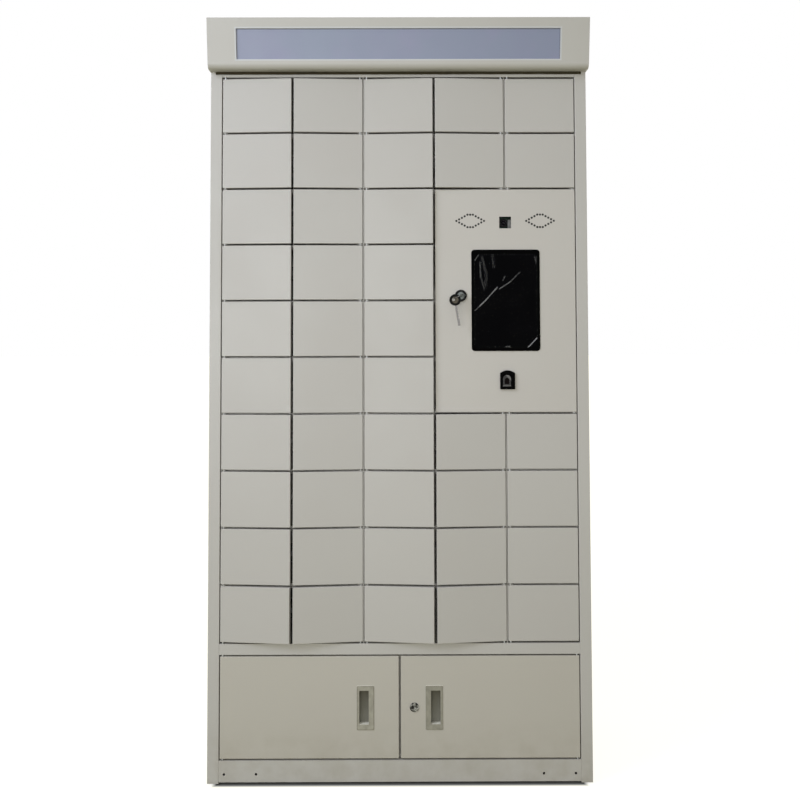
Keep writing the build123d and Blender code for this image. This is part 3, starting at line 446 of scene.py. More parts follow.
def blocked(low, high, edge=0.0):
    """Box between two corners, with its edges rounded."""
    shape = bmesh.new()
    bmesh.ops.create_cube(shape, size=1.0)
    low, high = Vector(low), Vector(high)
    bmesh.ops.scale(shape, vec=high - low, verts=shape.verts)
    bmesh.ops.translate(shape, vec=(low + high) / 2, verts=shape.verts)
    return rounded(shape, edge, 2) if edge else shape


def make_plastic_group():
    """Moulded plastic skin: a fine spark-eroded grain with soft polished patches."""
    group, start, end = new_group("moulded_skin", ("Place", "Colour"), ("Colour", "Wear", "Height"))
    wear = noise(start["Place"], 70.0, 2.0)
    shaded = scaled(start["Colour"], ranged(wear, 0.35, 0.75, 0.9, 1.2))
    fed(end, {"Colour": shaded, "Wear": wear, "Height": noise(start["Place"], 1800.0, 2.0)})
    return group


plastic_group = make_plastic_group()


def plastic(name, colour, *roughness, gloss=0.35, depth=0.00001, tone=None):
    """Moulded plastic of one colour, between two roughnesses."""
    return skinned(name, plastic_group, colour, roughness, depth, tone, **{"Specular IOR Level": gloss})


black_plastic = plastic("black_plastic", (0.012, 0.012, 0.012), 0.35, 0.55)
plated_steel = metal("plated_steel", (0.56, 0.57, 0.58), 0.28, 0.45)
catch = [(blocked(CATCH_LOW, CATCH_HIGH, 1.2), black_plastic)]
for low_z, high_z in POLE_Z:
    pole = blocked((POLE_X[0], POLE_Y[0], low_z), (POLE_X[1], POLE_Y[1], high_z), 0.3)
    catch.append((pole, plated_steel))
finished("magnet_catch_case", "cabinet", catch, "black_plastic")

# Levelling feet: a round rubber pad moulded on a threaded stud, which screws through the bracket in each
# foot of the sides and is held by a lock nut below it.
FOOT_PLACES = [(x, y) for x in (-450.0, 450.0) for y in (-149.5, 198.5)]
FOOT_PAD = ((0.0, 0.0), (10.2, 0.0), (10.9, 0.7), (10.9, 3.2), (9.6, 4.6), (6.0, 5.0), (0.0, 5.0))
STUD_R = 3.9
STUD_FOOT, STUD_TOP = 4.5, 32.0
THREAD_PITCH = 1.25
THREAD_DEEP = 0.6
NUT_ACROSS = 13.0
NUT_LOW, NUT_HIGH = 7.6, 13.9


def stud_profile(low, high):
    """Outline of a threaded rod, from the axis below to the axis above."""
    points = [(0.0, low)]
    z = low
    while z < high - THREAD_PITCH:
        points += [(STUD_R - THREAD_DEEP, z), (STUD_R, z + THREAD_PITCH / 2)]
        z += THREAD_PITCH
    return points + [(STUD_R - THREAD_DEEP, high), (0.0, high)]


def hexagon(across, low, high, centre):
    """Hexagonal nut or bar that stands upright."""
    shape = bmesh.new()
    radius = across / math.sqrt(3.0)
    bmesh.ops.create_cone(
        shape, cap_ends=True, segments=6, radius1=radius, radius2=radius, depth=high - low
    )
    bmesh.ops.translate(shape, vec=(*centre, (low + high) / 2), verts=shape.verts)
    return rounded(shape, 0.5, 2)


foot_rubber = plastic("foot_rubber", (0.02, 0.02, 0.02), 0.7, 0.85, gloss=0.25, depth=0.00003)
feet = []
for x, y in FOOT_PLACES:
    feet.append((turned(FOOT_PAD, (x, y, 0.0), (0, 0, 1), 32), foot_rubber))
    feet.append((turned(stud_profile(STUD_FOOT, STUD_TOP), (x, y, 0.0), (0, 0, 1), 16), plated_steel))
    feet.append((hexagon(NUT_ACROSS, NUT_LOW, NUT_HIGH, (x, y)), plated_steel))
finished("levelling_feet_set", "cabinet", feet, "plated_steel", "levelling_feet")

# Hood: one folded steel shell with a rolled lower edge, whose front leans forward. It carries a long window
# with a shallow stepped frame round it, and has the body's powder coat, with a painted highlight, a lighter
# band of the coat, on the window's rim.
HOOD_END = 466.0
HOOD_TOP = 1850.0
FASCIA_FOOT = (-206.8, 1730.0)
FASCIA_SLOPE = 21.7 / 120.0
WINDOW_END = 396.0
WINDOW_Z = (1745.0, 1830.0)
WINDOW_MIDDLE = 1.7881
WINDOW_HALF = (0.395, 0.0362)
RIM_HIGHLIGHT_WIDE = (0.0030, 0.0042)
RIM_HIGHLIGHT = (0.548, 0.556, 0.558)
CLOSE = 0.1
JOIN = 0.002
FLAT_UNDER = math.radians(0.5)


def solids_of(node):
    """The solids of a CAD node, each as a merged copy in millimetres with its flat faces made whole.

    The node's triangles come solid by solid, so a solid is complete where no edge of it is left open.
    """
    mesh = nodes[node].data
    places = [vert.co.to_tuple(6) for vert in mesh.vertices]
    groups, group, open_edges = [], set(), set()
    for triangle in mesh.polygons:
        a, b, c = [places[index] for index in triangle.vertices]
        group.add(triangle.index)
        for start, end in ((a, b), (b, c), (c, a)):
            if (end, start) in open_edges:
                open_edges.remove((end, start))
            else:
                open_edges.add((start, end))
        if not open_edges:
            groups.append(group)
            group = set()
    solids = []
    for group in groups:
        shape = bmesh.new()
        shape.from_mesh(mesh)
        others = [face for face in shape.faces if face.index not in group]
        bmesh.ops.delete(shape, geom=others, context="FACES")
        bmesh.ops.scale(shape, vec=(1 / MM, 1 / MM, 1 / MM), verts=shape.verts)
        bmesh.ops.remove_doubles(shape, verts=shape.verts, dist=JOIN)
        bmesh.ops.dissolve_limit(shape, angle_limit=FLAT_UNDER, verts=shape.verts, edges=shape.edges)
        solids.append(shape)
    return solids


def corners(shape):
    """Lowest and highest corner of a shape."""
    spans = [sorted(vert.co[axis] for vert in shape.verts) for axis in range(3)]
    return Vector([span[0] for span in spans]), Vector([span[-1] for span in spans])


def parts_of(node, rule):
    """The solids of a CAD node, each with the finish and the rounding that a rule gives for its corners."""
    parts = []
    for solid in solids_of(node):
        finish, *rounding = rule(*corners(solid))
        if rounding:
            rounded(solid, *rounding)
        parts.append((solid, finish))
    return parts


def hood_folds(a, b):
    """True for the rim of the sign's window, the seams round both ends and the top fold in front."""
    def on_fascia(end):
        return abs(end.y - FASCIA_FOOT[0] + (end.z - FASCIA_FOOT[1]) * FASCIA_SLOPE) < CLOSE

    window = all(
        on_fascia(end) and abs(end.x) < WINDOW_END and WINDOW_Z[0] < end.z < WINDOW_Z[1] for end in (a, b)
    )
    ends = all(abs(end.x) > HOOD_END - CLOSE for end in (a, b)) and a.x * b.x > 0.0
    top = all(end.z > HOOD_TOP - CLOSE and on_fascia(end) for end in (a, b))
    return window or ends or top


def window_rim_highlight(place):
    """Mask of the rim of the sign's window, where a painted highlight makes the coat lighter."""
    x, _, z = axes_of(place)
    outwards = reckoned("MAXIMUM", apart(x, 0.0, WINDOW_HALF[0]), apart(z, WINDOW_MIDDLE, WINDOW_HALF[1]))
    return ranged(outwards, *RIM_HIGHLIGHT_WIDE, 1.0, 0.0)


def hood_rule(low, high):
    """The shell has its folds rounded; the frame of the window stays as it is."""
    return (hood_paint, 0.9, 3, hood_folds) if high.x > HOOD_END - CLOSE else (hood_paint,)


# The window's rim gets a painted highlight, a lighter band of the coat.
hood_paint = powder_coat("hood_paint", (0.505, 0.492, 0.458), 0.06, marked=window_rim_highlight, mark=RIM_HIGHLIGHT)
finished("hood", "cabinet", parts_of("header_canopy", hood_rule), "body_paint", "header_canopy")

# Shadow under the hood: a dark brown strip across the front of the body, under the hood's lip, put there as
# a painted shadow of the joint under the lip. Its edges are rounded.
SHADOW_STRIP_LOW, SHADOW_STRIP_HIGH = (-452.0, -174.8, 1723.6), (452.0, -171.4, 1730.0)
shadow_strip_paint = plastic("shadow_strip_paint", (0.050, 0.042, 0.026), 0.85, 0.95, gloss=0.08, depth=0.0002)
finished("hood_shadow_strip", "cabinet", [(blocked(SHADOW_STRIP_LOW, SHADOW_STRIP_HIGH, 1.4), shadow_strip_paint)], "body_paint")

# Sign: a bare sheet of translucent lavender acrylic, laid in behind the hood's window and unlit. The sheet
# is slightly uneven, so it shows soft upright bands. It is painted darker towards its right end, a painted
# shade of light from the left, and dark along its top and end edges, a painted shadow of the window's rim.
SIGN_HALF = 0.395
SIGN_TOP = 1.8246
SIGN_LIT_END = (0.290, 0.310, 0.412)
SIGN_SHADED_END = (0.252, 0.272, 0.378)
SIGN_BAND = (0.262, 0.318, 0.392)
SIGN_CLOUD = (0.300, 0.280, 0.420)
SIGN_RIM_SHADOW = (0.09, 0.09, 0.10)


def sign_tone(place):
    """Tone of the sign sheet: painted shade from left to right, bands, clouds and painted shadow at the
    edges.
    """
    x, _, z = axes_of(place)
    # Painted shade: the sheet is darker towards its right end.
    tone = tinted(ranged(x, -0.4, 0.4), SIGN_LIT_END, SIGN_SHADED_END)
    bands = ranged(noise(place, 7.0, 2.0, (1.0, 1.0, 0.08)), 0.35, 0.7, 0.0, 0.35)
    clouds = ranged(noise(place, 16.0, 2.0), 0.5, 0.75, 0.0, 0.3)
    tone = tinted(clouds, tinted(bands, tone, SIGN_BAND), SIGN_CLOUD)
    # Painted shadow of the window's rim along the top and both ends.
    outwards = reckoned("MAXIMUM", apart(x, 0.0, SIGN_HALF), reckoned("SUBTRACT", z, SIGN_TOP))
    return tinted(ranged(outwards, -0.0030, 0.0, 0.0, 0.65), tone, SIGN_RIM_SHADOW)


def glazed(name, tone, wear, gloss, alpha=1.0):
    """Glass or smooth sheet: a tone by a function, and roughness from noise (scale, detail, ranges)."""
    material, shader, place = new_material(name)
    scale, detail, *span = wear
    fed(shader, {
        "Base Color": tone(place), "Roughness": ranged(noise(place, scale, detail), *span),
        "Specular IOR Level": gloss, "Alpha": alpha,
    })
    return material


dress("sign_panel", glazed("sign_sheet", sign_tone, (30.0, 3.0, 0.3, 0.7, 0.30, 0.42), 0.25))

# Compartments: shelves with folded lips and upright partitions, in thinner sheet than the body. They have
# the same coat in a slightly darker tone.
dress("compartment_grid", powder_coat("inner_paint", (0.450, 0.436, 0.402), 0.16))

# Hinge rods: dull zinc-plated round bar, 4 mm thick, pushed down through the shelf tabs. All doors of a
# column turn on one rod.
dress("hinge_pins", metal("rod_zinc", (0.40, 0.41, 0.41), 0.30, 0.45))

# Latch units: a black moulded case on the wall of each compartment, with a plated steel cam in its slot,
# beside the path of the door's striker. Two screws are on the open side, and a plug of white nylon behind.
COLUMN_PITCH = 174.0
FIRST_WALL = -435.0
LINING_WALL = -436.1
LATCH_SCREW = ((0.0, 0.5), (0.8, 0.5), (0.9, 0.9), (1.7, 0.8), (2.4, 0.0))
LATCH_CAM = ((0.0, -0.8), (6.0, -0.8), (6.0, 0.8), (0.0, 0.8))
SCREW_FRONT, SCREW_BACK, SCREW_ASIDE = 22.0, 6.0, 11.0
CAM_IN, CAM_BACK = 1.6, 12.0
LATCH_PLUG = (5.0, 7.0, 6.0)
latch_case = plastic("latch_case", (0.018, 0.018, 0.019), 0.45, 0.65)
nylon = plastic("white_nylon", (0.62, 0.60, 0.54), 0.40, 0.55)
dress("latch_units", latch_case)
latch_fittings = []
for solid in solids_of("latch_units"):
    low, high = corners(solid)
    across = sorted({round(vert.co.x, 2) for vert in solid.verts})
    solid.free()
    on_low_wall = abs((low.x - FIRST_WALL) % COLUMN_PITCH) < 1.5 or abs(low.x - LINING_WALL) < 0.2
    out = 1.0 if on_low_wall else -1.0
    face_x = high.x if on_low_wall else low.x
    middle_z = (low.z + high.z) / 2
    for y, side in ((low.y + SCREW_FRONT, -SCREW_ASIDE), (high.y - SCREW_BACK, SCREW_ASIDE)):
        screw = turned(LATCH_SCREW, (face_x, y, middle_z + side), (out, 0, 0), 8)
        latch_fittings.append((screw, plated_steel))
    cam_x = (across[1] if on_low_wall else across[-2]) + out * CAM_IN
    cam = turned(LATCH_CAM, (cam_x, low.y + CAM_BACK, middle_z), (1, 0, 0), 10)
    latch_fittings.append((cam, plated_steel))
    half_x, deep, half_z = LATCH_PLUG
    plug = blocked(
        (face_x - half_x, high.y, middle_z - half_z), (face_x + half_x, high.y + deep, middle_z + half_z)
    )
    latch_fittings.append((plug, nylon))
finished("latch_fittings", "cabinet", latch_fittings, "plated_steel")

# Small doors: forty-two shallow pans folded from 1 mm sheet. Each carries a plated striker beside its free
# edge and stands a few millimetres ajar on its rod, as in the photograph.
FOLD = 1.2
NEAR = 0.05
PAN_OVER = 50.0
door_paint = powder_coat("door_paint", (0.492, 0.477, 0.448), 0.09)


def pan_folds(low, high):
    """Test for the edges that folding leaves round: a pan's four front folds and its four corner seams."""
    sides = ((0, low.x), (0, high.x), (2, low.z), (2, high.z))

    def chosen(a, b):
        shared = sum(abs(a[axis] - end) < NEAR and abs(b[axis] - end) < NEAR for axis, end in sides)
        front = abs(a.y - low.y) < NEAR and abs(b.y - low.y) < NEAR
        return shared >= 2 or (front and shared == 1)

    return chosen


for name in sorted(node for node in nodes if node.startswith("door_r")):
    hinge = joint_of[name]
    rod = Vector(hinge["pos_m"]) / MM
    closing = Matrix.Rotation(math.radians(hinge["range_deg"][0]), 3, Vector(hinge["axis"]))
    door_parts = []
    for solid in solids_of(name):
        bmesh.ops.rotate(solid, cent=rod, matrix=closing, verts=solid.verts)
        low, high = corners(solid)
        if high.x - low.x > PAN_OVER:
            rounded(solid, FOLD, 3, pan_folds(low, high))
            door_parts.append((solid, door_paint))
        else:
            door_parts.append((rounded(solid, 0.4, 1), plated_steel))
        bmesh.ops.rotate(solid, cent=rod, matrix=closing.transposed(), verts=solid.verts)
    finished(name + "_pan", name, door_parts, "door_paint", name)

# Control door: one wide pan with the openings for its devices, on two short pins at its right edge. Round
# each speaker hole the coat is painted dark, a painted shade that makes the holes look wider and darker. The
# lock barrel is a black-plated casting, held from behind by a nut.
LOCK_PLACE = Vector((152.0, -171.5, 1175.0))
BARREL_R = 14.5
SPEAKERS_MIDDLE = (0.262, 1.359)
SPEAKER_ASIDE = 0.086
HOLE_STEP = (0.0068, 0.00385)
HOLE_ROWS = 5.0
SPEAKER_SHADE_REACH = (0.0025, 0.0029)


def speaker_hole_shade(place):
    """Mask of the painted shade round the speaker holes, which stand on the four sides of two flat diamonds.
    """
    x, _, z = axes_of(place)
    aside = apart(apart(x, SPEAKERS_MIDDLE[0]), SPEAKER_ASIDE)
    step = reckoned("ROUND", reckoned("DIVIDE", aside, HOLE_STEP[0]))
    rise = reckoned("SUBTRACT", HOLE_ROWS, reckoned("MAXIMUM", step, 1.0))
    beside = reckoned("SUBTRACT", aside, reckoned("MULTIPLY", step, HOLE_STEP[0]))
    over = reckoned("SUBTRACT", apart(z, SPEAKERS_MIDDLE[1]), reckoned("MULTIPLY", rise, HOLE_STEP[1]))
    return ranged(distance(beside, over), *SPEAKER_SHADE_REACH, 1.0, 0.0)


def round_rim(centre, radius, y):
    """Test for the rim edges of a round face of a radius, at a depth."""
    def chosen(a, b):
        return all(
            abs(end.y - y) < NEAR and abs(math.hypot(end.x - centre.x, end.z - centre.z) - radius) < 0.2
            for end in (a, b)
        )
    return chosen


def control_rule(low, high):
    """The pan with its folds, and the lock barrel."""
    if high.x - low.x > PAN_OVER:
        return control_paint, FOLD, 3, pan_folds(low, high)
    return black_plate, 1.0, 3, round_rim(LOCK_PLACE, BARREL_R, low.y)


# Dark rings of painted shade round the speaker holes.
control_paint = powder_coat("control_door_paint", (0.527, 0.506, 0.470), 0.07, marked=speaker_hole_shade)
black_plate = metal("black_plate", (0.010, 0.010, 0.010), 0.25, 0.40)
control_parts = parts_of("control_door", control_rule)
finished("control_door_pan", "control_door", control_parts, "door_paint", "control_door")

# Touch screen: a black glass front with a ground edge, bonded to a plated steel display housing behind the
# door. The lit area is off and shows as a very slightly lighter field inside the printed border.
SCREEN_MIDDLE = (0.262, 1.1635)
SCREEN_HALF = (0.0745, 0.1125)
SCREEN_BORDER = (0.0006, 0.0006, 0.0006)
SCREEN_FIELD = (0.0012, 0.0012, 0.0016)
BEFORE_DOOR = -172.0


def screen_tone(place):
    """Printed border and lit area of the screen."""
    x, _, z = axes_of(place)
    beside, over = apart(x, SCREEN_MIDDLE[0], SCREEN_HALF[0]), apart(z, SCREEN_MIDDLE[1], SCREEN_HALF[1])
    inside = ranged(reckoned("MAXIMUM", beside, over), 0.0, 0.0005, 1.0, 0.0)
    return tinted(inside, SCREEN_BORDER, SCREEN_FIELD)


black_glass = glazed("black_glass", screen_tone, (18.0, 4.0, 0.4, 0.75, 0.04, 0.16), 0.02)
screen_parts = parts_of(
    "touch_screen", lambda low, high: (black_glass if low.y < BEFORE_DOOR else plated_steel,)
)
finished("touch_screen_unit", "control_door", screen_parts, "black_glass", "touch_screen")

# Protective film: the clear film of a new screen, still on the glass. It is creased across the middle, has
# wrinkles at the upper left, and its corners are cut, the lower right one most. The light that the crease,
# the wrinkles and the film's edge catch is a painted highlight: the film is a light grey sheet, seen only
# where that highlight and a faint haze make it less clear.
FILM_LEFT, FILM_RIGHT = 185.3, 339.0
FILM_FOOT, FILM_TOP = 1048.3, 1276.4
FILM_Y = -173.56
FILM_COUNT = (96, 143)
FILM_THICK = 0.1
# Each cut: a point of its line, and the side that falls away.
FILM_CUTS = (
    ((314.3, 1044.0), (0.735, -0.678)),
    ((184.6, 1261.3), (-0.787, 0.618)),
    ((333.0, 1276.4), (0.707, 0.707)),
    ((185.3, 1054.3), (-0.707, -0.707)),
)
# Each wrinkle: its start, its end, its height, its half width and the strength of its painted highlight.
FILM_WRINKLES = (
    ((186.5, 1138.0), (197.4, 1148.7), 0.30, 0.9, 0.18),
    ((197.4, 1148.7), (214.7, 1165.4), 0.70, 1.0, 0.72),
    ((214.7, 1165.4), (241.5, 1195.4), 0.60, 1.0, 0.50),
    ((246.8, 1191.1), (273.9, 1209.4), 0.55, 0.9, 0.33),
    ((273.9, 1209.4), (297.4, 1232.7), 0.40, 0.8, 0.18),
    ((255.0, 1212.0), (260.5, 1223.0), 0.35, 1.1, 0.13),
    ((199.3, 1257.5), (200.8, 1220.7), 0.40, 1.3, 0.15),
    ((200.8, 1220.7), (209.9, 1188.7), 0.35, 1.1, 0.09),
    ((204.3, 1269.8), (215.1, 1225.5), 0.35, 2.8, 0.055),
    ((215.1, 1225.5), (212.5, 1198.5), 0.30, 2.6, 0.045),
    ((230.1, 1272.3), (233.6, 1245.2), 0.25, 3.4, 0.035),
    ((315.0, 1046.5), (338.0, 1070.0), 1.60, 1.3, 0.70),
    ((186.5, 1262.5), (195.0, 1275.0), 0.70, 1.4, 0.26),
    ((262.0, 1049.5), (271.0, 1049.5), 0.40, 1.3, 0.24),
    ((334.5, 1270.0), (338.0, 1256.0), 0.40, 1.8, 0.08),
)
FILM_EDGE_HIGHLIGHT = 0.045
FILM_TONE = (0.50, 0.50, 0.51)
FILM_CLOUDED = 0.75


def film_light(x, z):
    """Height of the film over the glass at a point, and the strength of its painted highlight there."""
    height, light = 0.0, 0.0
    for (x0, z0), (x1, z1), high, half, highlight in FILM_WRINKLES:
        run = Vector((x1 - x0, z1 - z0))
        share = min(max((x - x0) * run.x + (z - z0) * run.y, 0.0) / run.length_squared, 1.0)
        away = math.hypot(x - x0 - run.x * share, z - z0 - run.y * share) / half
        height = max(height, high * math.exp(-away * away))
        light = max(light, highlight * math.exp(-away * away))
    return height, light


film = bmesh.new()
bmesh.ops.create_grid(
    film, x_segments=FILM_COUNT[0], y_segments=FILM_COUNT[1], size=0.5,
    matrix=Matrix.Rotation(math.radians(90.0), 4, "X"),
)
bmesh.ops.scale(film, vec=(FILM_RIGHT - FILM_LEFT, 1.0, FILM_TOP - FILM_FOOT), verts=film.verts)
bmesh.ops.translate(
    film, vec=((FILM_LEFT + FILM_RIGHT) / 2, FILM_Y, (FILM_FOOT + FILM_TOP) / 2), verts=film.verts
)
for (x, z), (normal_x, normal_z) in FILM_CUTS:
    bmesh.ops.bisect_plane(
        film, geom=film.verts[:] + film.edges[:] + film.faces[:], plane_co=(x, FILM_Y, z),
        plane_no=(normal_x, 0.0, normal_z), clear_outer=True,
    )
# Painted highlight: how much light each point of the film seems to catch, along the wrinkles and the edge.
painted_highlight = film.verts.layers.float.new("painted_highlight")
for vert in film.verts:
    height, light = film_light(vert.co.x, vert.co.z)
    on_rim = any(len(edge.link_faces) == 1 for edge in vert.link_edges)
    vert[painted_highlight] = max(light, FILM_EDGE_HIGHLIGHT) if on_rim else light
    vert.co.y -= height
bmesh.ops.solidify(film, geom=film.faces[:], thickness=FILM_THICK)
clear_film, shader, place = new_material("clear_film")
highlight = added(place.id_data, "Attribute", {}, attribute_name="painted_highlight")["Fac"]
uneven = ranged(noise(place, 260.0, 3.0), 0.3, 0.7, 0.55, 1.0)
haze = ranged(noise(place, 14.0, 3.0), 0.45, 0.8, 0.0, 0.003)
shown = reckoned("ADD", reckoned("MULTIPLY", highlight, uneven), haze)
fed(shader, {
    "Base Color": FILM_TONE, "Alpha": reckoned("MULTIPLY", shown, FILM_CLOUDED),
    "Roughness": ranged(uneven, 0.5, 1.0, 0.30, 0.15), "Specular IOR Level": 0.3,
})
finished("screen_film", "control_door", [(film, clear_film)], "black_glass")

# Fingerprint reader: a glossy black arched bezel stuck on the door, with a raised dark grey guide for the
# fingertip, with painted highlights at its foot and on its right shoulder, round a dark red sensor window,
# and its housing behind the sheet.
READER_PLACE = (0.265, 0.969)
GUIDE_HIGHLIGHT = (0.135, 0.132, 0.127)
BEZEL_OVER, WINDOW_UNDER = 30.0, 12.0


def guide_highlights(place, skin):
    """The fingertip guide, with painted highlights at its foot and on its right shoulder."""
    x, _, z = axes_of(place)
    beside, over = reckoned("SUBTRACT", x, READER_PLACE[0]), reckoned("SUBTRACT", z, READER_PLACE[1])
    shoulder = ranged(reckoned("ADD", beside, over), 0.0045, 0.0085)
    highlit = reckoned("MAXIMUM", ranged(over, -0.0145, -0.0120, 0.8, 0.0), shoulder)
    return tinted(highlit, skin, GUIDE_HIGHLIGHT)


def edges_at(y):
    """Test for the edges of a front face at a depth."""
    return lambda a, b: max(abs(a.y - y), abs(b.y - y)) < NEAR


def reader_rule(low, high):
    """Bezel, sensor window, fingertip guide and the housing behind."""
    width = high.x - low.x
    if width > BEZEL_OVER:
        return reader_gloss, 0.9, 3, edges_at(low.y)
    if width < WINDOW_UNDER:
        return (sensor_glass,)
    if low.y < BEFORE_DOOR:
        return reader_guide, 0.7, 3, edges_at(low.y)
    return (black_plastic,)


reader_gloss = plastic("reader_gloss", (0.001, 0.001, 0.001), 0.12, 0.25, gloss=0.02, depth=0.000003)
# Painted highlights on the fingertip guide.
reader_guide = plastic("reader_guide", (0.026, 0.025, 0.024), 0.30, 0.45, gloss=0.25, tone=guide_highlights)
sensor_glass = plastic("sensor_glass", (0.003, 0.0012, 0.0012), 0.05, 0.12, gloss=0.05, depth=0.0)
reader_parts = parts_of("fingerprint_reader", reader_rule)
finished("fingerprint_reader_unit", "control_door", reader_parts, "black_plastic", "fingerprint_reader")

# Camera: a black moulded bracket behind the square window, with a smoked pane, a lens barrel with a coated
# front lens, and its small board. At the right stands a light grey strip, painted light that stands in for
# the lit inside of the housing.
LENS_PLACE = Vector((259.0, -162.5, 1355.0))
LENS_DOME = ((5.6, 1.5), (5.4, 0.6), (4.6, -0.5), (3.2, -1.3), (1.6, -1.75), (0.0, -1.9))
LIT_HOUSING_STRIP = ((269.2, -168.8, 1340.5), (276.8, -158.0, 1362.0))
PANE_UNDER, BOARD_UNDER = 1.55, 1.7
BOARD_GREENS = ((0.010, 0.060, 0.026), (0.020, 0.110, 0.045), (0.012, 0.075, 0.03))
LENS_REFLECTION_TONES = ((0.004, 0.003, 0.008), (0.05, 0.02, 0.07))
PANE_TONES = ((0.004, 0.004, 0.004), (0.007, 0.007, 0.008))


def lens_coating_reflection(place):
    """The coating of the lens, with a painted violet reflection where it is seen at a slant."""
    return tinted(added(place.id_data, "LayerWeight", {"Blend": 0.4})["Facing"], *LENS_REFLECTION_TONES)


def pane_tone(place):
    """Smoke in the pane, slightly uneven."""
    return tinted(ranged(noise(place, 45.0, 3.0), 0.3, 0.7), *PANE_TONES)


def camera_rule(low, high):
    """Told apart by thickness: the pane, the board, and the bracket and barrel."""
    deep = high.y - low.y
    return (smoked_pane if deep < PANE_UNDER else circuit_board if deep < BOARD_UNDER else black_plastic,)


circuit_board, shader, place = new_material("circuit_board")
traces = ranged(noise(place, 160.0, 1.0, (1.0, 1.0, 0.25)), 0.47, 0.53)
fine_traces = ranged(noise(place, 420.0, 0.0, (0.3, 1.0, 1.0)), 0.49, 0.51, 0.0, 0.5)
green = tinted(fine_traces, tinted(traces, *BOARD_GREENS[:2]), BOARD_GREENS[2])
fed(shader, {"Base Color": green, "Roughness": ranged(traces, 0.0, 1.0, 0.35, 0.5)})
# The lens colour carries a painted reflection of its coating.
lens_glass = glazed("lens_glass", lens_coating_reflection, (90.0, 2.0, 0.3, 0.7, 0.03, 0.08), 0.5)
smoked_pane = glazed("smoked_pane", pane_tone, (45.0, 3.0, 0.3, 0.7, 0.03, 0.10), 0.05, alpha=0.30)
lit_housing_grey = plastic("lit_housing_grey", (0.62, 0.62, 0.61), 0.85, 0.95, gloss=0.1, depth=0.0002)
camera_parts = parts_of("camera_module", camera_rule)
camera_parts.append((turned(LENS_DOME, LENS_PLACE, (0, 1, 0), 32), lens_glass))
# Light grey strip: painted light for the lit inside of the housing.
camera_parts.append((blocked(*LIT_HOUSING_STRIP, 0.8), lit_housing_grey))
finished("camera_unit", "control_door", camera_parts, "black_plastic", "camera_module")

# Loudspeakers: two flat ones with a black moulded basket and a paper cone behind each diamond of holes, and
# a grey ferrite magnet at the back.
MAGNET_UNDER = 40.0
ferrite = plastic("ferrite", (0.055, 0.054, 0.053), 0.55, 0.7, gloss=0.3, depth=0.00004)
speaker_parts = parts_of(
    "speakers", lambda low, high: (ferrite if high.x - low.x < MAGNET_UNDER else black_plastic,)
)
finished("speaker_pair", "control_door", speaker_parts, "black_plastic", "speakers")

# Control lock's plug and key: a plug with its cam behind, and a plain key that stands in it, both cast and
# plated a dull grey nickel. A split ring of two turns of wire goes through the key's bow.
RING_MIDDLE = Vector((144.51, -203.0, 1172.34))
RING_AXIS = Vector((-0.436, 0.0, 0.9)).normalized()
RING_R = 13.5
WIRE_R = 0.44
RING_STEPS = 48
PLUG_R = 9.0
PLUG_OVER = (24.0, 17.0)
CAM_UNDER, KEY_UNDER = 2.0, 3.0
KEY_NECK = Vector((152.0, -178.6, 1175.0))
nickel = metal("nickel", (0.135, 0.130, 0.125), 0.26, 0.38)
lock_face = metal("lock_face", (0.112, 0.124, 0.118), 0.28, 0.42)


def kept_side(shape, point, normal):
    """Copy of a closed shape, cut off at a plane, with the cut closed again."""
    kept = shape.copy()
    cut = bmesh.ops.bisect_plane(
        kept, geom=kept.verts[:] + kept.edges[:] + kept.faces[:], plane_co=point, plane_no=normal,
        clear_outer=True,
    )
    rim = [item for item in cut["geom_cut"] if isinstance(item, bmesh.types.BMEdge)]
    bmesh.ops.holes_fill(kept, edges=rim)
    return kept


def key_in_two(shape, point, towards_blade, bow_finish):
    """A key as its bow, with soft edges, and its metal blade."""
    bow = rounded(kept_side(shape, point, towards_blade), 0.5, 2)
    blade = rounded(kept_side(shape, point, -towards_blade), 0.15, 1)
    shape.free()
    return [(bow, bow_finish), (blade, nickel)]


def wire_turn(middle, axis, radius, wire):
    """One closed turn of round wire."""
    shape = bmesh.new()
    out = axis.orthogonal().normalized()
    across_wire = Matrix((out, axis, out.cross(axis))).transposed().to_4x4()
    made = bmesh.ops.create_circle(
        shape, cap_ends=False, segments=10, radius=wire,
        matrix=Matrix.Translation(middle + out * radius) @ across_wire,
    )
    return spun(shape, made["verts"] + shape.edges[:], middle, axis, RING_STEPS)


lock_parts = []
for solid in solids_of("control_lock_key"):
    low, high = corners(solid)
    size = high - low
    if size.y > PLUG_OVER[0] and size.z > PLUG_OVER[1]:
        rounded(solid, 0.5, 2, round_rim(LOCK_PLACE, PLUG_R, low.y))
        lock_parts.append((solid, lock_face))
    elif size.y < CAM_UNDER:
        lock_parts.append((rounded(solid, 0.3, 2), plated_steel))
    elif size.z < KEY_UNDER:
        lock_parts += key_in_two(solid, KEY_NECK, Vector((0, 1, 0)), lock_face)
    else:
        # The CAD ring, which the two turns of wire take the place of.
        solid.free()
for shift in (-WIRE_R, WIRE_R):
    lock_parts.append((wire_turn(RING_MIDDLE + RING_AXIS * shift, RING_AXIS, RING_R, WIRE_R), nickel))
finished("control_lock_and_key", "control_key", lock_parts, "plated_steel", "control_lock_key")

# Spare key: the second key of the lock, with a black rim moulded round its brown-grey head and a thin
# nickel-plated blade. It hangs face on from the ring.
SPARE_BOW = Vector((136.06, -203.0, 1163.45))
SPARE_DOWN = Vector((math.sin(math.radians(9.0)), 0.0, -math.cos(math.radians(9.0))))
SPARE_NECK = 13.6
HEAD_RIM = (0.0078, 0.0083)
HEAD_BROWN = (0.130, 0.114, 0.088)


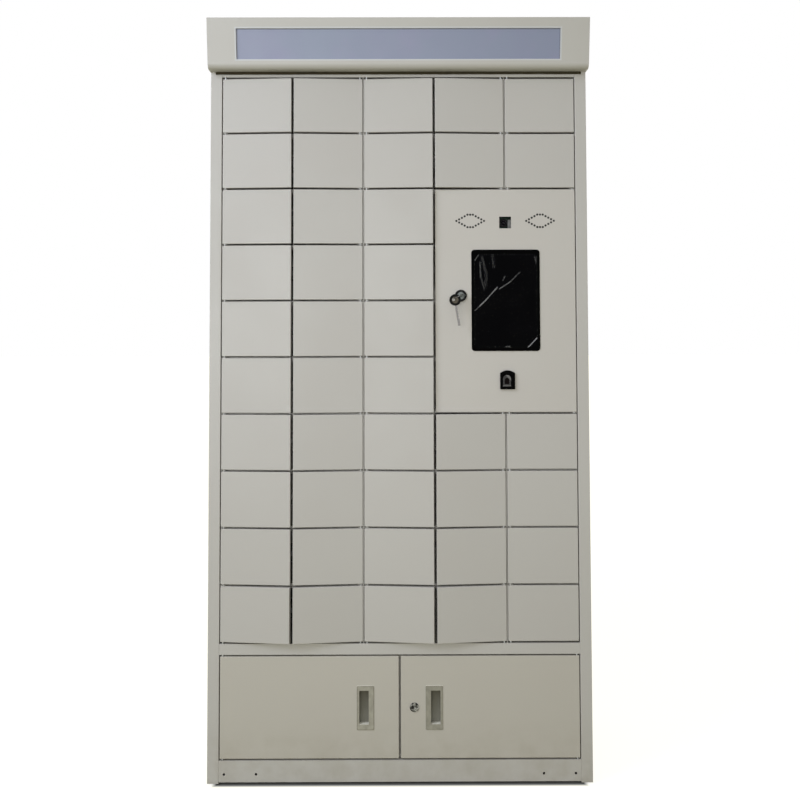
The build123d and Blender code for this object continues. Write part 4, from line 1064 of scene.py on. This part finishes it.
def bare_head(place, skin):
    """The bare head inside the key's moulded rim."""
    x, _, z = axes_of(place)
    away = distance(apart(x, SPARE_BOW.x * MM), apart(z, SPARE_BOW.z * MM))
    patches = ranged(noise(place, 160.0, 3.0), 0.35, 0.65, 0.62, 1.0)
    bare = reckoned("MULTIPLY", ranged(away, *HEAD_RIM, 1.0, 0.0), patches)
    return tinted(bare, skin, HEAD_BROWN)


key_bow = plastic("key_bow", (0.004, 0.004, 0.0035), 0.30, 0.45, gloss=0.05, tone=bare_head)
spare_parts = key_in_two(solids_of("spare_key")[0], SPARE_BOW + SPARE_DOWN * SPARE_NECK, SPARE_DOWN, key_bow)
finished("spare_key_on_ring", "spare_key", spare_parts, "plated_steel", "spare_key")

# Lower doors: two large pans, each with a recessed pull cup moulded in grey plastic and pushed through the
# sheet. The left one has a keeper plate for the catch, the right one a chromed lock barrel. The cups carry
# painted shade at their rims, over the whole right cup and deepening up the pocket, and a painted highlight
# on the pocket's upward-facing foot.
CAM_LOCK_PLACE = Vector((35.0, -171.5, 183.0))
CAM_BARREL_R = 11.25
LOWER_PAN_OVER, CUP_OVER, BARREL_OVER = 100.0, 40.0, 20.0
CUP_PLACE = (0.083, 0.182)
CUP_HALF = (0.02075, 0.0525)
CUP_GREY = (0.335, 0.320, 0.265)
CUP_RIM_SHADE = (0.12, 0.115, 0.09)
RIM_SHADE_WIDTH = (0.0004, 0.0030)
RIGHT_CUP_SHADE = 0.24
POCKET_SHADE_LOW = (0.205, 0.200, 0.168)
POCKET_SHADE_HIGH = (0.105, 0.098, 0.068)
POCKET_FOOT_HIGHLIGHT = (0.88, 0.86, 0.76)
POCKET_RISE = (0.160, 0.222)
POCKET_FROM = (-0.1722, -0.1700)
FOOT_FROM = (0.030, 0.032)
FOOT_REACH = 0.018
CHROME_REFLECTION_DARK = (0.020, 0.020, 0.018)


def chrome_dark_reflection(place, skin):
    """Chrome with dark patches, a painted reflection of dark surroundings."""
    return tinted(ranged(noise(place, 170.0, 2.0), 0.43, 0.55, 1.0, 0.0), skin, CHROME_REFLECTION_DARK)


def facing_at(place):
    """X, Y and Z of the surface's own direction."""
    return axes_of(added(place.id_data, "NewGeometry", {})["True Normal"])


def cup_shade_and_highlight(place, skin):
    """The pull cup: painted shade at its rim and over the right cup, a pocket painted darker upwards, and a
    painted highlight on its foot.
    """
    x, y, z = axes_of(place)
    beside = apart(reckoned("ABSOLUTE", x), CUP_PLACE[0])
    over = apart(z, CUP_PLACE[1])
    inwards = [reckoned("SUBTRACT", half, away) for half, away in zip(CUP_HALF, (beside, over))]
    inwards = reckoned("MINIMUM", *inwards)
    on_right = reckoned("MULTIPLY", reckoned("GREATER_THAN", x, 0.0), RIGHT_CUP_SHADE)
    # Painted shade at the cup's rim and over the right cup; the pocket below is painted darker upwards.
    rim_shade = reckoned("MAXIMUM", ranged(inwards, *RIM_SHADE_WIDTH, 0.45, 0.0), on_right)
    pocket = tinted(ranged(z, *POCKET_RISE), POCKET_SHADE_LOW, POCKET_SHADE_HIGH)
    tone = tinted(ranged(y, *POCKET_FROM), tinted(rim_shade, skin, CUP_RIM_SHADE), pocket)
    # Painted highlight on the upward-facing foot of the pocket.
    upwards = reckoned("GREATER_THAN", facing_at(place)["Z"], 0.5)
    foot = reckoned("MULTIPLY", upwards, ranged(over, *FOOT_FROM))
    near = reckoned("LESS_THAN", reckoned("ABSOLUTE", inwards), FOOT_REACH)
    return tinted(reckoned("MULTIPLY", foot, near), tone, POCKET_FOOT_HIGHLIGHT)


def lower_rule(low, high):
    """Told apart by width: pan, pull cup, lock barrel and keeper plate."""
    width = high.x - low.x
    if width > LOWER_PAN_OVER:
        return lower_paint, FOLD, 3, pan_folds(low, high)
    if width > CUP_OVER:
        return cup_plastic, 0.5, 3, edges_at(low.y)
    if width > BARREL_OVER:
        return chrome, 0.9, 3, round_rim(CAM_LOCK_PLACE, CAM_BARREL_R, low.y)
    return plated_steel, 0.5, 2


# Chrome: its dark base colour and dark patches are a painted reflection of dark surroundings.
chrome = metal("chrome", (0.27, 0.27, 0.255), 0.14, 0.26, depth=0.000002, tone=chrome_dark_reflection)
lower_paint = powder_coat("lower_door_paint", (0.497, 0.474, 0.422), 0.09)
cup_plastic = plastic("cup_plastic", CUP_GREY, 0.42, 0.55, gloss=0.3, tone=cup_shade_and_highlight)
for name in ("lower_door_left", "lower_door_right"):
    finished(name + "_pan", name, parts_of(name, lower_rule), "door_paint", name)

# Lower lock's plug: a chromed plug with an upright keyway and a plated cam on its inner end, which turns
# behind the centre post.
CAM_PLUG_R = 6.0
PLUG_DEEPER = 10.0


def cam_lock_rule(low, high):
    """The plug, rounded on its face, and its cam."""
    if high.y - low.y > PLUG_DEEPER:
        return chrome, 0.6, 2, round_rim(CAM_LOCK_PLACE, CAM_PLUG_R, low.y)
    return plated_steel, 0.3, 2


cam_lock_parts = parts_of("lower_lock_plug", cam_lock_rule)
finished("lower_lock_plug_unit", "lower_lock", cam_lock_parts, "chrome", "lower_lock_plug")

# Electrics: a power supply in a punched aluminium case, the control board on its stand-offs, the power
# inlet in the back panel, and the strip of small lamps behind the sign. The case's holes are painted as dark
# discs, painted shade where the openings would show the dark inside.
PUNCH_PITCH = 0.0036
PUNCH_EDGE = (0.0010, 0.0012)
PUNCH_HOLE_SHADE = (0.01, 0.01, 0.01)
LAMP_PITCH = 0.0085
LAMP_EDGE = (0.0020, 0.0023)
LAMP_TONES = ((0.60, 0.60, 0.58), (0.62, 0.46, 0.10))
STRIP_OVER, BOARD_OVER, SUPPLY_OVER = 700.0, 150.0, 90.0
STRIP_Z = 1733.0
CONTACTS = ((393.0, 98.0), (400.0, 103.0), (407.0, 98.0))
CONTACT_HALF = (1.1, 2.6)
CONTACT_Y = (211.0, 225.7)


def hole_offset(value):
    """Distance from the middle of the nearest punched hole along one axis."""
    return reckoned("SUBTRACT", reckoned("PINGPONG", value, PUNCH_PITCH), PUNCH_PITCH / 2)


def strip_tone(place):
    """Yellow lamps in a row on a white strip."""
    along = reckoned("PINGPONG", axes_of(place)["X"], LAMP_PITCH)
    return tinted(ranged(along, *LAMP_EDGE, 1.0, 0.0), *LAMP_TONES)


def electric_rule(low, high):
    """Told apart by width: lamp strip and its bracket, control board, power supply and power inlet."""
    width = high.x - low.x
    if width > STRIP_OVER:
        return (lamp_strip if low.z > STRIP_Z else plated_steel,)
    if width > BOARD_OVER:
        return (circuit_board,)
    if width > SUPPLY_OVER:
        return aluminium, 1.0, 2
    return (black_plastic,)


aluminium, shader, place = new_material("punched_aluminium")
skin = placed(metal_group, place, Colour=(0.55, 0.56, 0.57))
x, _, z = axes_of(place)
facing_front = reckoned("GREATER_THAN", reckoned("ABSOLUTE", facing_at(place)["Y"]), 0.5)
# Painted shade: dark discs where the case's punched holes would be.
hole = ranged(distance(hole_offset(x), hole_offset(z)), *PUNCH_EDGE, 1.0, 0.0)
hole_shade = reckoned("MULTIPLY", hole, facing_front)
fed(shader, {
    "Base Color": tinted(hole_shade, skin["Colour"], PUNCH_HOLE_SHADE),
    "Roughness": ranged(skin["Wear"], 0.3, 0.7, 0.35, 0.5),
    "Metallic": reckoned("SUBTRACT", 1.0, hole_shade),
})
lamp_strip = glazed("lamp_strip", strip_tone, (200.0, 2.0, 0.3, 0.7, 0.35, 0.55), 0.5)
brass = metal("brass", (0.62, 0.46, 0.20), 0.22, 0.36)
electric_parts = parts_of("electrics", electric_rule)
for x, z in CONTACTS:
    wide, tall = CONTACT_HALF
    contact = blocked((x - wide, CONTACT_Y[0], z - tall), (x + wide, CONTACT_Y[1], z + tall), 0.3)
    electric_parts.append((contact, brass))
finished("electric_parts", "cabinet", electric_parts, "circuit_board", "electrics")

# Board parts: the relays, chips, capacitors and plugs soldered on the control board's face, and the screw
# terminals of the power supply.
BOARD_FACE = 204.9
RELAYS = [(172.0 + column * 20.0, 1262.0, 15.0, 19.0) for column in range(4)]
CHIPS = ((180.0, 1212.0, 22.0, 22.0), (222.0, 1216.0, 14.0, 9.0), (222.0, 1236.0, 14.0, 9.0))
PLUGS = [(128.0 + row * 18.0, 1166.0, 13.0, 9.0) for row in range(9)]
CAPACITORS = ((136.0, 1275.0), (150.0, 1275.0), (136.0, 1258.0), (150.0, 1258.0))
CAPACITOR = ((0.0, -12.0), (3.6, -12.0), (4.0, -11.4), (4.0, 0.0))
BOARD_SCREWS = [(x, z) for z in (1165.5, 1284.5) for x in (125.5, 294.5)]
BOARD_SCREW = ((0.0, -2.4), (1.4, -2.4), (2.8, -1.6), (3.0, 0.0))
TERMINAL_BLOCK = ((330.0, 170.0, 984.0), (414.0, 184.5, 998.0))
TERMINALS = [(336.0 + column * 12.0, 170.0, 991.0) for column in range(7)]
TERMINAL = ((0.0, -1.0), (2.6, -1.0), (3.2, 0.0))


def soldered(places, tall, edge, finish):
    """Blocks on the board's face, each at a corner and with a width and a height."""
    return [
        (blocked((x, BOARD_FACE - tall, z), (x + width, BOARD_FACE, z + height), edge), finish)
        for x, z, width, height in places
    ]


def on_board(profile, places, steps):
    """Round steel parts on the board's face."""
    return [(turned(profile, (x, BOARD_FACE, z), (0, 1, 0), steps), plated_steel) for x, z in places]


relay_blue = plastic("relay_blue", (0.020, 0.075, 0.200), 0.30, 0.45)
board_parts = soldered(RELAYS, 15.0, 0.6, relay_blue)
board_parts += soldered(CHIPS, 1.8, 0.3, black_plastic)
board_parts += on_board(CAPACITOR, CAPACITORS, 20)
board_parts += soldered(PLUGS, 9.0, 0.4, nylon)
board_parts += on_board(BOARD_SCREW, BOARD_SCREWS, 16)
board_parts.append((blocked(*TERMINAL_BLOCK, 0.6), black_plastic))
board_parts += [(turned(TERMINAL, place, (0, 1, 0), 16), brass) for place in TERMINALS]
finished("board_parts", "cabinet", board_parts, "circuit_board")
